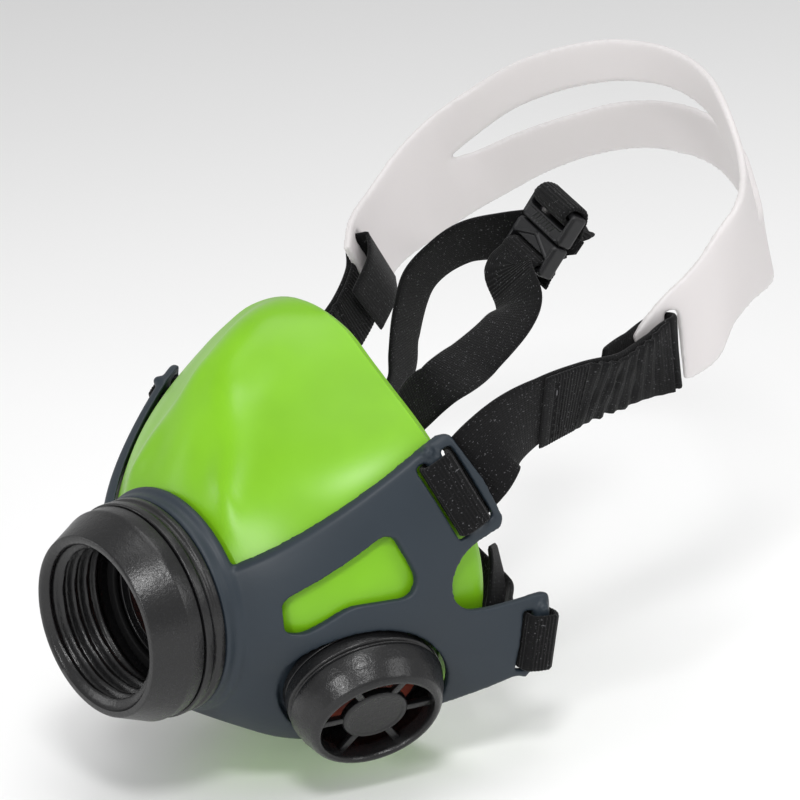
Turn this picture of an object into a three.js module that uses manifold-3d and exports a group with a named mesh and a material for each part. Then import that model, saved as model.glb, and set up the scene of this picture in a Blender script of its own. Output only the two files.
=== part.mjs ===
// Half-mask respirator with one front filter port and two side exhalation valves.
// Units are millimetres. The origin is on the filter port's axis, in the plane of the face seal.
// -Y points out of the filter port, +Z to the bridge of the nose, +X to the wearer's left.
import * as THREE from "three";
import { mergeVertices } from "three/addons/utils/BufferGeometryUtils.js";
import Module from "manifold-3d";

const wasm = await Module();
wasm.setup();

// ---- Driving dimensions -------------------------------------------------------------------
const GAP = 0.3;                    // air left between pieces that touch
const FACET_TOLERANCE = 0.05;       // flat enough for two facets to become one

const PORT_MOUTH_Y = -84;           // front rim of the filter connector
const PORT_RIM_R = 22.8;            // front rim, outside
const PORT_FLARE_R = 26.1;          // end of the flared cone
const PORT_MAX_R = 26.7;            // widest band of the connector
const PORT_BACK_Y = -71.6;          // back face of the widest band
const COLLAR_R = 27.2;              // clamp collar behind the connector
const COLLAR_BACK_Y = -65.2;
const THREAD_MAJOR_R = 20.4;        // 40 mm round thread
const THREAD_MINOR_R = 18.4;
const THREAD_PITCH = 3.63;
const THREAD_TURNS = 4;
const NECK_R = 21.6;                // part of the connector that passes through yoke and facepiece
const NECK_BACK_Y = -53;
const SHELF_Y = -63.2;              // floor of the threaded socket, under the gasket
const SHELF_THICK = 2;
const SHELF_R = 16.6;
const NUT_FRONT_Y = -55.3;          // nut that clamps facepiece and yoke to the connector
const NUT_R = 24.6;
const SEAT_BORE_R = 13.6;           // breathing hole of the inhalation valve
const SEAT_BACK_Y = -59.2;          // face that the inhalation flap rests on
const PIN_R = 1.5;
const FLAP_THICK = 0.8;
const FLAP_TRAVEL = 1.5;

const FACE_RING_R = 26;             // where the facepiece's walls leave its front ring
const FACE_RING_Y = -58.6;
const FACE_WALL = 2.4;
const YOKE_CLEAR = 0.55;            // air between facepiece and yoke
const YOKE_WALL = 2.4;

const VALVE_CENTRE = [47, -37.5, -28.7];      // middle of the left valve cover's opening
const VALVE_AXIS = [0.783, -0.318, -0.534];   // straight out of the left valve
const COVER_R = 19.6;
const COVER_OPENING_R = 14.3;
const COVER_DEPTH = 13.5;
const COVER_HUB_R = 8.4;
const COVER_SPOKES = 6;
// Heights along the valve's axis, 0 at the cover's opening and negative towards the face.
const BASE_W = -13.8;               // top of the valve base's flange
const BASE_FLANGE = 2;
const FLAP_SEAT_W = -11.5;          // face that the exhalation flap rests on
const BASE_TUBE_W = -24;
const NUT_W = -21.6;
const VALVE_BORE_R = 12.6;
const VALVE_TUBE_R = 15;

const UPPER_WEB = 20;               // width of the elastic webbing, upper and neck straps
const NECK_WEB = 15;
const WEB_THICK = 1.2;
const CRADLE_THICK = 2;

// ---- Materials ----------------------------------------------------------------------------
const finish = (color, roughness) => new THREE.MeshStandardMaterial({ color, roughness, metalness: 0 });
const FINISH = {
  silicone: () => finish(0x8cc432, 0.45),
  yoke: () => finish(0x36424c, 0.5),
  black: () => finish(0x1c1c1e, 0.35),
  rubber: () => finish(0x252527, 0.7),
  disc: () => finish(0xb4553a, 0.5),
  webbing: () => finish(0x1b1b1c, 0.9),
  cradle: () => finish(0xe2dedc, 0.4),
  buckle: () => finish(0x303032, 0.45),
};

// ---- Solids -------------------------------------------------------------------------------
// Merges shared vertices, drops collapsed triangles and turns the faces outward.
function closedMesh(geometry) {
  const plain = geometry.clone();
  for (const name of Object.keys(plain.attributes)) if (name !== "position") plain.deleteAttribute(name);
  const merged = mergeVertices(plain, 1e-4);
  const index = [];
  const [a, b, c] = [0, 1, 2].map(() => new THREE.Vector3());
  let volume = 0;
  for (let i = 0; i < merged.index.count; i += 3) {
    const [p, q, r] = [0, 1, 2].map((k) => merged.index.getX(i + k));
    if (p === q || q === r || r === p) continue;
    index.push(p, q, r);
    [a, b, c].forEach((v, k) => v.fromBufferAttribute(merged.attributes.position, [p, q, r][k]));
    volume += a.dot(b.cross(c));
  }
  if (volume < 0) index.reverse();
  merged.setIndex(index);
  return merged;
}

function toManifold(geometry) {
  const closed = closedMesh(geometry);
  return new wasm.Manifold(new wasm.Mesh({
    numProp: 3,
    vertProperties: new Float32Array(closed.attributes.position.array),
    triVerts: new Uint32Array(closed.index.array),
  }));
}

function toGeometry(solid) {
  const { vertProperties, triVerts } = solid.simplify(FACET_TOLERANCE).getMesh();
  const geometry = new THREE.BufferGeometry();
  geometry.setAttribute("position", new THREE.BufferAttribute(new Float32Array(vertProperties), 3));
  geometry.setIndex(new THREE.BufferAttribute(new Uint32Array(triVerts), 1));
  return geometry;
}

const cut = (body, ...tools) => toGeometry(tools.reduce((b, t) => b.subtract(toManifold(t)), toManifold(body)));
const join = (...bodies) => toGeometry(bodies.map(toManifold).reduce((a, b) => a.add(b)));
const common = (a, b) => toGeometry(toManifold(a).intersect(toManifold(b)));

function meshFromFaces(points, triangles) {
  const geometry = new THREE.BufferGeometry();
  geometry.setAttribute("position", new THREE.Float32BufferAttribute(points.flat(), 3));
  geometry.setIndex(triangles.flat());
  return geometry;
}

const mirrored = (geometry) => closedMesh(geometry.clone().scale(-1, 1, 1));

// A solid of revolution. The profile is [radius, height] pairs; height runs along `axis` from `at`.
function turned(profile, at, axis, segments = 26) {
  const geometry = new THREE.LatheGeometry(profile.map(([r, h]) => new THREE.Vector2(r, h)), segments);
  geometry.applyQuaternion(new THREE.Quaternion().setFromUnitVectors(
    new THREE.Vector3(0, 1, 0), new THREE.Vector3(...axis).normalize()));
  geometry.translate(...at);
  return geometry;
}

const ring = (inner, outer, low, high) =>
  [[inner, low], [outer, low], [outer, high], [inner, high], [inner, low]];
const disc = (radius, low, high) => [[0, low], [radius, low], [radius, high], [0, high]];

// A box with its own axes: u, v and n are its edge directions, size its full lengths.
function block(at, u, v, n, size) {
  const geometry = new THREE.BoxGeometry(...size);
  geometry.applyMatrix4(new THREE.Matrix4().makeBasis(u, v, n));
  geometry.translate(...at);
  return geometry;
}

// Gives a sheet of quads a thickness, half to each side.
function thickened(points, quads, thickness) {
  const normals = points.map(() => new THREE.Vector3());
  const at = points.map((p) => new THREE.Vector3(...p));
  for (const [a, b, c, d] of quads) {
    const normal = at[c].clone().sub(at[a]).cross(at[d].clone().sub(at[b]));
    for (const k of [a, b, c, d]) normals[k].add(normal);
  }
  const side = (sign) => at.map((p, k) =>
    p.clone().addScaledVector(normals[k].clone().normalize(), sign * thickness / 2).toArray());
  const count = points.length;
  const triangles = [];
  const edges = new Map();
  for (const [a, b, c, d] of quads) {
    triangles.push([a, b, c], [a, c, d], [count + a, count + c, count + b], [count + a, count + d, count + c]);
    for (const [p, q] of [[a, b], [b, c], [c, d], [d, a]]) {
      if (edges.has(`${q},${p}`)) edges.delete(`${q},${p}`);
      else edges.set(`${p},${q}`, [p, q]);
    }
  }
  for (const [p, q] of edges.values()) {
    triangles.push([q, p, count + p], [q, count + p, count + q]);
  }
  return meshFromFaces([...side(1), ...side(-1)], triangles);
}

// ---- Facepiece and yoke surfaces ----------------------------------------------------------
// Each key is an angle about the port's axis (0 at the nose, 90 at the cheek, 180 at the chin)
// and the [radius, y] of the two handles and the end of a cubic curve that starts at the front ring.
const FACE_KEYS = [
  [0, [41, -50.5], [68, -38], [65, -13]],
  [16, [40.5, -50.5], [50.5, -39], [63, -13.5]],
  [27, [40, -51.5], [46.5, -38.5], [60.5, -14.5]],
  [38, [38.5, -52], [48, -37.5], [59.5, -15]],
  [56, [39, -49.5], [52.3, -34.7], [60, -14.5]],
  [75, [39, -50], [52, -36], [55.5, -9]],
  [95, [38, -51], [50, -37], [53.5, -7]],
  [120, [31, -49], [40, -36], [50, -6]],
  [150, [34, -51], [47, -36], [50, -6]],
  [180, [35, -51], [49, -34], [52, -6]],
];
const WING_KEYS = [
  [0, [41, -50.5], [68, -38], [65, -13]],
  [38, [40, -51], [54, -37], [64, -13]],
  [56, [39, -49.5], [53, -35], [63.5, -11]],
  [75, [39.5, -50], [52, -37], [60, -1]],
  [95, [38.5, -51], [50, -38], [60, 8]],
  [108, [34, -50], [45, -38], [62, 6]],
  [120, [31.5, -49], [41, -37], [61, 2]],
  [150, [35, -51], [48, -36], [54, 0]],
  [180, [36, -51], [50, -34], [54, -4]],
];

// Smooth interpolation between keys, mirrored at nose and chin.
function keyed(keys, angle) {
  const folded = Math.abs(((angle + 180) % 360 + 360) % 360 - 180);
  const flat = keys.map(([a, ...v]) => [a, ...v.flat()]);
  const all = [[-flat[1][0], ...flat[1].slice(1)], ...flat,
    [360 - flat.at(-2)[0], ...flat.at(-2).slice(1)]];
  let k = 1;
  while (k < all.length - 3 && folded > all[k + 1][0]) k += 1;
  const [p0, p1, p2, p3] = all.slice(k - 1, k + 3);
  const span = p2[0] - p1[0];
  const t = (folded - p1[0]) / span;
  return p1.slice(1).map((value, i) => {
    const j = i + 1;
    const m1 = (p2[j] - p0[j]) / (p2[0] - p0[0]) * span;
    const m2 = (p3[j] - p1[j]) / (p3[0] - p1[0]) * span;
    return (2 * t ** 3 - 3 * t ** 2 + 1) * value + (t ** 3 - 2 * t ** 2 + t) * m1
      + (3 * t ** 2 - 2 * t ** 3) * p2[j] + (t ** 3 - t ** 2) * m2;
  });
}

// [radius, y] and outward normal of a wall at an angle; s runs from 0 at the ring to 1 at the edge.
function wallAt(keys, angle, s) {
  const [r1, y1, r2, y2, r3, y3] = keyed(keys, angle);
  const r = new THREE.CubicBezierCurve(new THREE.Vector2(FACE_RING_R, FACE_RING_Y),
    new THREE.Vector2(r1, y1), new THREE.Vector2(r2, y2), new THREE.Vector2(r3, y3));
  const point = r.getPoint(s);
  const tangent = r.getTangent(s);
  return { r: point.x, y: point.y, nr: -(-tangent.y), ny: -tangent.x };
}

const polar = (angle, r, y) => {
  const a = THREE.MathUtils.degToRad(angle);
  return [r * Math.sin(a), y, r * Math.cos(a)];
};

// Closed surface swept round the port axis: `profile(angle)` is a closed loop of [radius, y].
function loftRound(profile, angles, closed) {
  const loops = angles.map((angle) => profile(angle).map(([r, y]) => polar(angle, r, y)));
  const n = loops[0].length;
  const triangles = [];
  const rings = closed ? loops.length : loops.length - 1;
  for (let i = 0; i < rings; i += 1) {
    const j = (i + 1) % loops.length;
    for (let k = 0; k < n; k += 1) {
      const l = (k + 1) % n;
      triangles.push([i * n + k, i * n + l, j * n + l], [i * n + k, j * n + l, j * n + k]);
    }
  }
  if (!closed) {
    const last = (loops.length - 1) * n;
    for (let k = 1; k < n / 2; k += 1) {
      const [a, b, c, d] = [k - 1, k, n - 1 - k, n - k];
      triangles.push([a, d, c], [a, c, b], [last + a, last + c, last + d], [last + a, last + b, last + c]);
    }
  }
  return meshFromFaces(loops.flat(), triangles);
}

const steps = (count, low = 0, high = 1) =>
  Array.from({ length: count + 1 }, (_, i) => low + (high - low) * i / count);

function facepieceProfile(angle) {
  const outer = steps(8).map((s) => wallAt(FACE_KEYS, angle, s));
  const edge = outer.at(-1);
  const inner = steps(5, 0.04, 0.9).map((s) => wallAt(FACE_KEYS, angle, s)).reverse();
  return [
    [NECK_R + GAP, FACE_RING_Y - 0.4],
    [FACE_RING_R - 1, FACE_RING_Y - 0.4],
    ...outer.map(({ r, y }) => [r, y]),
    [edge.r - 0.9, edge.y + 2.2],
    [edge.r - 3.5, edge.y + 3.2],
    [edge.r - 10.5, edge.y + 0.4],
    [edge.r - 10.2, edge.y - 1.0],
    [edge.r - 4.4, edge.y + 0.6],
    ...inner.map(({ r, y, nr, ny }) => [r - nr * FACE_WALL, y - ny * FACE_WALL]),
    [NECK_R + GAP, FACE_RING_Y + 2.2],
  ];
}

// ---- Yoke ---------------------------------------------------------------------------------
function wingShell(inner, outer) {
  const profile = (angle) => {
    const wall = steps(8).map((s) => wallAt(WING_KEYS, angle, s));
    const off = (d) => wall.map(({ r, y, nr, ny }) => [r + nr * d, y + ny * d]);
    return [...off(outer), ...off(inner).reverse()];
  };
  return loftRound(profile, steps(17, 36, 189), false);
}

// Side outline of the left wing, as [y, z]: two arms with a link between them.
const WING_OUTLINE = [
  [-64, 10.6], [-17.3, 37.8], [-12.4, 39.8], [-3.4, 16.6], [-4.4, 14.2], [-10.5, 12.4],
  [-14.8, 10], [-18.4, 5], [-18.2, -1.2], [-14.6, -4.7], [-8, -5.6], [6.8, -5.2], [8.6, -7],
  [6.4, -27.6], [3.2, -28.6], [0.2, -26.2], [-11, -31], [-36, -40.5], [-46, -37.6], [-64, -27],
];
const WING_WINDOW = [
  [-54.6, 5.4], [-33, 18.2], [-30.4, 17.4], [-26.6, 6.2], [-28.6, 2.2], [-42, 2.6], [-51, -3.4],
  [-54.6, -2.6],
];

function sidePrism(outline, low, high) {
  const shape = new THREE.Shape(outline.map(([y, z]) => new THREE.Vector2(y, z)));
  const geometry = new THREE.ExtrudeGeometry(shape, { depth: high - low, bevelEnabled: false });
  geometry.applyMatrix4(new THREE.Matrix4().makeBasis(
    new THREE.Vector3(0, 1, 0), new THREE.Vector3(0, 0, 1), new THREE.Vector3(1, 0, 0)));
  geometry.translate(low, 0, 0);
  return geometry;
}

// The point of the left wing's middle surface that has this y and z.
function onWing(y, z) {
  let x = 50;
  for (let round = 0; round < 12; round += 1) {
    const angle = THREE.MathUtils.radToDeg(Math.atan2(x, z));
    let [low, high] = [0, 1];
    for (let i = 0; i < 24; i += 1) {
      const s = (low + high) / 2;
      if (wallAt(WING_KEYS, angle, s).y < y) low = s;
      else high = s;
    }
    const wall = wallAt(WING_KEYS, angle, low);
    const r = wall.r + wall.nr * (YOKE_CLEAR + YOKE_WALL / 2);
    x = Math.sqrt(Math.max(r * r - z * z, 1));
  }
  return new THREE.Vector3(x, y, z);
}

// Frame of a webbing bar on a tab: its middle, the bar's direction, the way back and the way out.
const unit = (x, y, z) => new THREE.Vector3(x, y, z).normalize();
function frameOf(at, bar, back) {
  const out = bar.clone().cross(back).normalize();
  return { at, bar, back: out.clone().cross(bar), out };
}
function tabFrame([y, z], [barY, barZ]) {
  const bar = onWing(y + barY, z + barZ).sub(onWing(y - barY, z - barZ)).normalize();
  const back = onWing(y + 2.5, z).sub(onWing(y - 2.5, z)).normalize();
  return frameOf(onWing(y, z), bar, back);
}
const UPPER_TAB = tabFrame([-14.4, 25], [3, -7.8]);
const LOWER_TAB = tabFrame([4.6, -17.6], [-0.8, -7.8]);

const inTab = ({ at, bar, back, out }, along, rear, outward) =>
  at.clone().addScaledVector(bar, along).addScaledVector(back, rear).addScaledVector(out, outward).toArray();

const BAR_HALF = 2.2;
const SLOT_WIDE = 3;
const PEG_R = 1.6;                  // rounded peg beside the webbing on each tab
function tabSlots(frame, web, sides) {
  const centre = BAR_HALF + SLOT_WIDE / 2;
  return sides.map((side) => side * centre).map((rear) =>
    block(inTab(frame, 0, rear, 0), frame.bar, frame.back, frame.out, [web + 1.2, SLOT_WIDE, 14]));
}

// ---- Filter port --------------------------------------------------------------------------
const FRONT = [0, -1, 0];
const onPort = (profile, segments = 32) =>
  turned(profile.map(([r, y]) => [r, -y]), [0, 0, 0], FRONT, segments);

function connector() {
  const thread = Array.from({ length: THREAD_TURNS }, (_, i) => {
    const y = PORT_MOUTH_Y + 1.8 + i * THREAD_PITCH;
    return [[THREAD_MAJOR_R, y], [THREAD_MINOR_R, y + THREAD_PITCH / 2]];
  }).flat();
  const neckFront = COLLAR_BACK_Y - GAP;
  return onPort([
    [PORT_RIM_R - 1.5, PORT_MOUTH_Y], [PORT_RIM_R, PORT_MOUTH_Y], [PORT_FLARE_R, -76.6],
    [PORT_MAX_R, -75.4], [PORT_MAX_R, PORT_BACK_Y], [PORT_RIM_R + 1, PORT_BACK_Y],
    [PORT_RIM_R + 1, neckFront], [NECK_R, neckFront], [NECK_R, NECK_BACK_Y],
    [THREAD_MAJOR_R, NECK_BACK_Y], [THREAD_MAJOR_R, SHELF_Y + SHELF_THICK],
    [SHELF_R, SHELF_Y + SHELF_THICK], [SHELF_R, SHELF_Y], [THREAD_MAJOR_R, SHELF_Y],
    [THREAD_MAJOR_R, SHELF_Y - 3],
    ...thread.reverse(), [PORT_RIM_R - 1.5, PORT_MOUTH_Y],
  ]);
}

const clampCollar = () =>
  onPort(ring(PORT_RIM_R + 1 + GAP, COLLAR_R, PORT_BACK_Y + GAP, COLLAR_BACK_Y - GAP));
const lockNut = () => onPort(ring(NECK_R + GAP, NUT_R, NUT_FRONT_Y, NUT_FRONT_Y + 2));
const gasket = () => onPort(ring(SHELF_R + 0.4, THREAD_MAJOR_R - 0.4, SHELF_Y - 2, SHELF_Y - GAP));

// A valve's open seat: a ring, `count` spokes and a hub with a headed pin that holds the flap.
// Heights run along the way the flap opens, from 0 at the face that the flap rests on.
function valveSeat(at, axis, { rim, pin, flap, travel, count }) {
  const up = new THREE.Vector3(...axis).normalize();
  const side = new THREE.Vector3(0, 0, 1).cross(up).normalize();
  const other = up.clone().cross(side);
  const spokes = Array.from({ length: count }, (_, i) => {
    const angle = 2 * Math.PI * i / count;
    const along = side.clone().multiplyScalar(Math.cos(angle)).addScaledVector(other, Math.sin(angle));
    const middle = along.clone().multiplyScalar((rim + 1) / 2).addScaledVector(up, -0.8);
    return block(middle.add(new THREE.Vector3(...at)).toArray(), along, up.clone().cross(along), up,
      [rim + 1, 1.6, 1.2]);
  });
  const head = flap + 2 * GAP + travel;
  const hub = turned([[0, -1.6], [2.6, -1.6], [2.6, -0.1], [pin, -0.1], [pin, head], [pin + 1.3, head],
    [pin + 1.3, head + 0.8], [0, head + 0.8]], at, axis, 20);
  return join(hub, ...spokes);
}

const inhalationSeat = () => join(
  onPort([[SEAT_BORE_R, SEAT_BACK_Y], [THREAD_MAJOR_R - GAP, SEAT_BACK_Y],
    [THREAD_MAJOR_R - GAP, SHELF_Y + SHELF_THICK + GAP], [SHELF_R - GAP, SHELF_Y + SHELF_THICK + GAP],
    [SHELF_R - GAP, SHELF_Y], [SEAT_BORE_R, SHELF_Y], [SEAT_BORE_R, SEAT_BACK_Y]]),
  valveSeat([0, SEAT_BACK_Y, 0], [0, 1, 0],
    { rim: SEAT_BORE_R, pin: PIN_R, flap: FLAP_THICK, travel: FLAP_TRAVEL, count: 4 }));
const inhalationFlap = () =>
  turned(ring(PIN_R + GAP, SEAT_BORE_R + 1.6, GAP, GAP + FLAP_THICK), [0, SEAT_BACK_Y, 0], [0, 1, 0]);

// ---- Exhalation valves --------------------------------------------------------------------
const onValve = (profile, segments = 26) => turned(profile, VALVE_CENTRE, VALVE_AXIS, segments);
const valvePoint = (height) => VALVE_CENTRE.map((c, i) => c + VALVE_AXIS[i] * height);

function valveCover() {
  const shell = onValve([
    [COVER_OPENING_R, 0], [COVER_OPENING_R, -4.6], [COVER_R - 3.2, -4.6], [COVER_R - 3.2, -COVER_DEPTH],
    [COVER_R - 0.1, -COVER_DEPTH], [COVER_R - 0.1, -10.3], [COVER_R - 0.8, -9.9],
    [COVER_R - 0.8, -9.3], [COVER_R, -8.8], [COVER_R - 0.2, -5], [COVER_R - 1.4, -1.8],
    [COVER_R - 3.2, 0], [COVER_OPENING_R, 0],
  ]);
  const up = new THREE.Vector3(...VALVE_AXIS).normalize();
  const side = new THREE.Vector3(0, 0, 1).cross(up).normalize();
  const spokes = Array.from({ length: COVER_SPOKES }, (_, i) => {
    const along = side.clone().applyAxisAngle(up, 2 * Math.PI * i / COVER_SPOKES);
    const at = new THREE.Vector3(...valvePoint(-3.3)).addScaledVector(along, COVER_OPENING_R - 2.8);
    return block(at.toArray(), along, up.clone().cross(along), up, [7.2, 1.8, 1.6]);
  });
  return join(shell, onValve(disc(COVER_HUB_R, -4.2, -2.2)), ...spokes);
}

const valveBase = () => join(
  onValve([[VALVE_BORE_R, FLAP_SEAT_W], [VALVE_BORE_R, BASE_TUBE_W], [VALVE_TUBE_R, BASE_TUBE_W],
    [VALVE_TUBE_R, BASE_W - BASE_FLANGE], [COVER_R - 0.4, BASE_W - BASE_FLANGE], [COVER_R - 0.4, BASE_W],
    [COVER_R - 3.6, BASE_W], [COVER_R - 3.6, FLAP_SEAT_W], [VALVE_BORE_R, FLAP_SEAT_W]]),
  valveSeat(valvePoint(FLAP_SEAT_W), VALVE_AXIS,
    { rim: VALVE_BORE_R, pin: PIN_R, flap: FLAP_THICK, travel: FLAP_TRAVEL, count: 6 }));
const valveFlap = () => turned(ring(PIN_R + GAP, VALVE_BORE_R + 1, GAP, GAP + FLAP_THICK),
  valvePoint(FLAP_SEAT_W), VALVE_AXIS);
const valveNut = () => onValve(ring(VALVE_TUBE_R + GAP, VALVE_TUBE_R + 3, NUT_W - 1.8, NUT_W));

// ---- Facepiece and yoke bodies ------------------------------------------------------------
const BOSS_R = COVER_R + 0.8;
const YOKE_SEAT_W = BASE_W - BASE_FLANGE - GAP;       // face of the yoke under the valve's flange
const FACE_SEAT_W = YOKE_SEAT_W - YOKE_WALL - GAP;    // face of the facepiece under the yoke

// Opens both valve holes in a body and lays a flat seat round each, `wall` thick.
function withValveSeats(body, radius, seat, wall, trim = []) {
  const tools = [onValve(disc(radius, seat, 30)), onValve(disc(VALVE_TUBE_R + GAP, -40, 30))];
  const ringSeat = onValve(ring(VALVE_TUBE_R + GAP, radius, seat - wall, seat));
  const boss = trim.length ? cut(ringSeat, ...trim) : ringSeat;
  const both = (list) => [...list, ...list.map(mirrored)];
  return join(cut(body, ...both(tools)), ...both([boss]));
}

function facepiece() {
  const shell = loftRound(facepieceProfile, steps(39, 0, 351), true);
  const underYoke = wingShell(YOKE_CLEAR - GAP, YOKE_CLEAR + 12);
  return withValveSeats(shell, BOSS_R + 2 * GAP, FACE_SEAT_W, FACE_WALL, [underYoke]);
}

function yoke() {
  const slots = [...tabSlots(UPPER_TAB, UPPER_WEB, [-1, 1]), ...tabSlots(LOWER_TAB, NECK_WEB, [-1])];
  const wing = cut(common(wingShell(YOKE_CLEAR, YOKE_CLEAR + YOKE_WALL), sidePrism(WING_OUTLINE, -4, 90)),
    sidePrism(WING_WINDOW, 20, 90), ...slots);
  const pegs = [[UPPER_TAB, UPPER_WEB], [LOWER_TAB, NECK_WEB]].map(([tab, web]) => {
    const [, y, z] = inTab(tab, -web / 2 - PEG_R - GAP, 0, 0);
    return turned([[0, -0.6], [PEG_R, -0.6], [PEG_R, 1.6], [PEG_R - 0.4, 3], [0, 3.4]],
      onWing(y, z).toArray(), tab.out.toArray(), 14);
  });
  const side = join(wing, ...pegs);
  const back = FACE_RING_Y - 0.8;
  const plate = onPort([[NECK_R + GAP, back], [28.4, back], [28.4, back - YOKE_WALL], [27.4, back - YOKE_WALL],
    [27.4, COLLAR_BACK_Y], [NECK_R + GAP, COLLAR_BACK_Y], [NECK_R + GAP, back]]);
  const whole = withValveSeats(join(plate, side, mirrored(side)), BOSS_R, YOKE_SEAT_W, YOKE_WALL);
  return cut(whole, onPort(disc(NECK_R + GAP, -90, -40)), upperLeft(GAP), upperRight(GAP),
    neckLeft(GAP), neckRight(GAP));
}

// ---- Head harness -------------------------------------------------------------------------
// A flat ribbon swept along a route. Each stop of the route is [x, y, z] and the way its width runs.
function ribbon(route, width, thickness, count) {
  const path = new THREE.CatmullRomCurve3(route.map(([p]) => new THREE.Vector3(...p)), false, "centripetal");
  const across = new THREE.CatmullRomCurve3(route.map(([, w]) => new THREE.Vector3(...w)), false, "centripetal");
  const points = [];
  const quads = [];
  for (const [i, t] of steps(count).entries()) {
    const at = path.getPoint(t);
    const tangent = path.getTangent(t);
    const side = across.getPoint(t).addScaledVector(tangent, -across.getPoint(t).dot(tangent)).normalize();
    for (const sign of [-1, 1]) points.push(at.clone().addScaledVector(side, sign * width / 2).toArray());
    if (i > 0) quads.push([2 * i - 2, 2 * i - 1, 2 * i + 1, 2 * i]);
  }
  return thickened(points, quads, thickness);
}

// The webbing's way round a tab's bar, from its tail to where it leaves, as [rearward, outward].
const UPPER_WRAP = [[1.2, -2.2], [-1.4, -2.2], [-3.2, -1.6], [-3.75, 0], [-3, 1.9], [-1.2, 2.3],
  [1.2, 2.3], [3, 1.9], [3.75, 0], [4.2, -1.6], [6.4, -2.8]];
const LOWER_WRAP = [[-10, -6.4], [-6.6, -4.6], [-4.4, -2.6], [-3.75, 0], [-3, 1.9], [-1.2, 2.3],
  [1.2, 2.3], [3, 1.9], [3.75, 0], [3, -2.2], [0.6, -4.4], [-4, -7.4]];
const roundBar = (tab, wrap) => wrap.map(([rear, out]) => [inTab(tab, 0, rear, out), tab.bar.toArray()]);

const mirrorTab = (tab) => ({
  at: tab.at.clone().multiply(new THREE.Vector3(-1, 1, 1)),
  ...Object.fromEntries(["bar", "back", "out"].map((name) =>
    [name, tab[name].clone().multiply(new THREE.Vector3(-1, 1, 1))])),
});

// Stops of each strap after it has left its tab, with the way its width runs.
const UPPER_LEFT_ROUTE = [
  [[57.6, -1, 35.4], [0, 0.4, -0.9]], [[58.5, 11, 39], [-0.25, 0.45, -0.85]],
  [[59, 24, 40], [-0.34, 0.42, -0.84]], [[59.5, 36.5, 40], [-0.4, 0.5, -0.75]],
  [[60.4, 48, 41.6], [-0.3, 0.4, -0.85]], [[61.8, 54, 42.8], [-0.15, 0.2, -0.95]],
  [[62.7, 56.9, 43.2], [-0.08, 0.1, -1]], [[60.8, 58.1, 43.2], [-0.05, 0.1, -1]],
  [[58, 57.5, 43], [-0.08, 0.1, -1]], [[55.4, 54, 42.4], [-0.15, 0.2, -0.95]],
  [[54.4, 46, 41], [-0.3, 0.4, -0.85]], [[55.4, 36, 39.6], [-0.35, 0.45, -0.8]],
];
const UPPER_RIGHT_ROUTE = [
  [[-56.5, 4, 25], [0, 0.3, -0.95]], [[-56.5, 22, 25], [0, 0.45, -0.9]], [[-57, 38, 27], [-0.2, 0.6, -0.75]],
  [[-58, 50, 32.5], [-0.2, 0.65, -0.7]], [[-60.2, 60, 41], [-0.18, 0.6, -0.75]],
  [[-64.1, 64.1, 46.4], [-0.18, 0.59, -0.78]], [[-65.2, 66, 47.9], [-0.18, 0.59, -0.78]],
  [[-63.2, 67.3, 48.7], [-0.18, 0.59, -0.78]], [[-61, 68.7, 48.9], [-0.18, 0.59, -0.78]],
  [[-58.8, 67.5, 47.6], [-0.18, 0.59, -0.78]], [[-55.4, 64, 44], [-0.18, 0.6, -0.75]],
  [[-53.6, 56, 36.6], [-0.2, 0.65, -0.7]],
];
const NECK_LEFT_ROUTE = [
  [[42, 9, -13], [-0.6, -0.1, -0.75]], [[30, 11, -8], [-0.4, -0.1, -0.9]], [[20, 12, -2], [-0.5, 0, -0.86]],
  [[11, 13, 5], [-0.6, 0, -0.8]], [[6, 14, 14], [-0.85, 0.1, -0.4]], [[5, 14.5, 22], [-0.97, 0.2, -0.1]],
  [[8.5, 15.5, 30], [-0.93, 0.2, 0.3]], [[16, 17.6, 36.4], [-0.88, 0.21, 0.43]],
  [[13, 34, 39.6], [-0.89, 0.25, 0.39]], [[11, 48, 44.6], [-0.94, 0.23, 0.25]],
  [[8.6, 55, 48.3], [-0.98, 0.2, 0.1]],
];
const NECK_RIGHT_ROUTE = [
  [[-46, 9, -13], [0, 0.25, -0.95]], [[-45, 24, -5], [-0.15, 0.6, -0.75]], [[-41, 38, 5], [-0.3, 0.85, -0.4]],
  [[-35, 50, 21.7], [-0.34, 0.9, -0.25]], [[-32.3, 50, 31.6], [-0.34, 0.89, -0.3]],
  [[-28, 50, 44], [-0.26, 0.89, -0.38]], [[-25.5, 52, 51.2], [-0.15, 0.87, -0.47]],
  [[-21.5, 56, 56.4], [-0.14, 0.78, -0.61]], [[-17, 62, 60], [-0.14, 0.6, -0.8]],
  [[-11, 70, 60.6], [-0.25, 0.2, -0.9]], [[-3.4, 77.4, 60.2], [-0.4, -0.4, -0.82]],
  [[4.4, 79, 62.6], [-0.93, -0.13, -0.34]],
];

// `spare` is added all round, for the room that a strap needs in a solid it passes through.
const strap = (tab, wrap, route, web, spare = 0) => ribbon([...roundBar(tab, wrap), ...route],
  web + 2 * spare, WEB_THICK + 2 * spare, Math.round(2.6 * (route.length + wrap.length)));
const upperLeft = (spare) => strap(UPPER_TAB, UPPER_WRAP, UPPER_LEFT_ROUTE, UPPER_WEB, spare);
const upperRight = (spare) => strap(mirrorTab(UPPER_TAB), UPPER_WRAP, UPPER_RIGHT_ROUTE, UPPER_WEB, spare);
const neckLeft = (spare) =>
  strap(LOWER_TAB, LOWER_WRAP, [...NECK_LEFT_ROUTE, ...SOCKET_WRAP], NECK_WEB, spare);
const neckRight = (spare) =>
  strap(mirrorTab(LOWER_TAB), LOWER_WRAP, [...NECK_RIGHT_ROUTE, ...HOOK_WRAP], NECK_WEB, spare);

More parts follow.
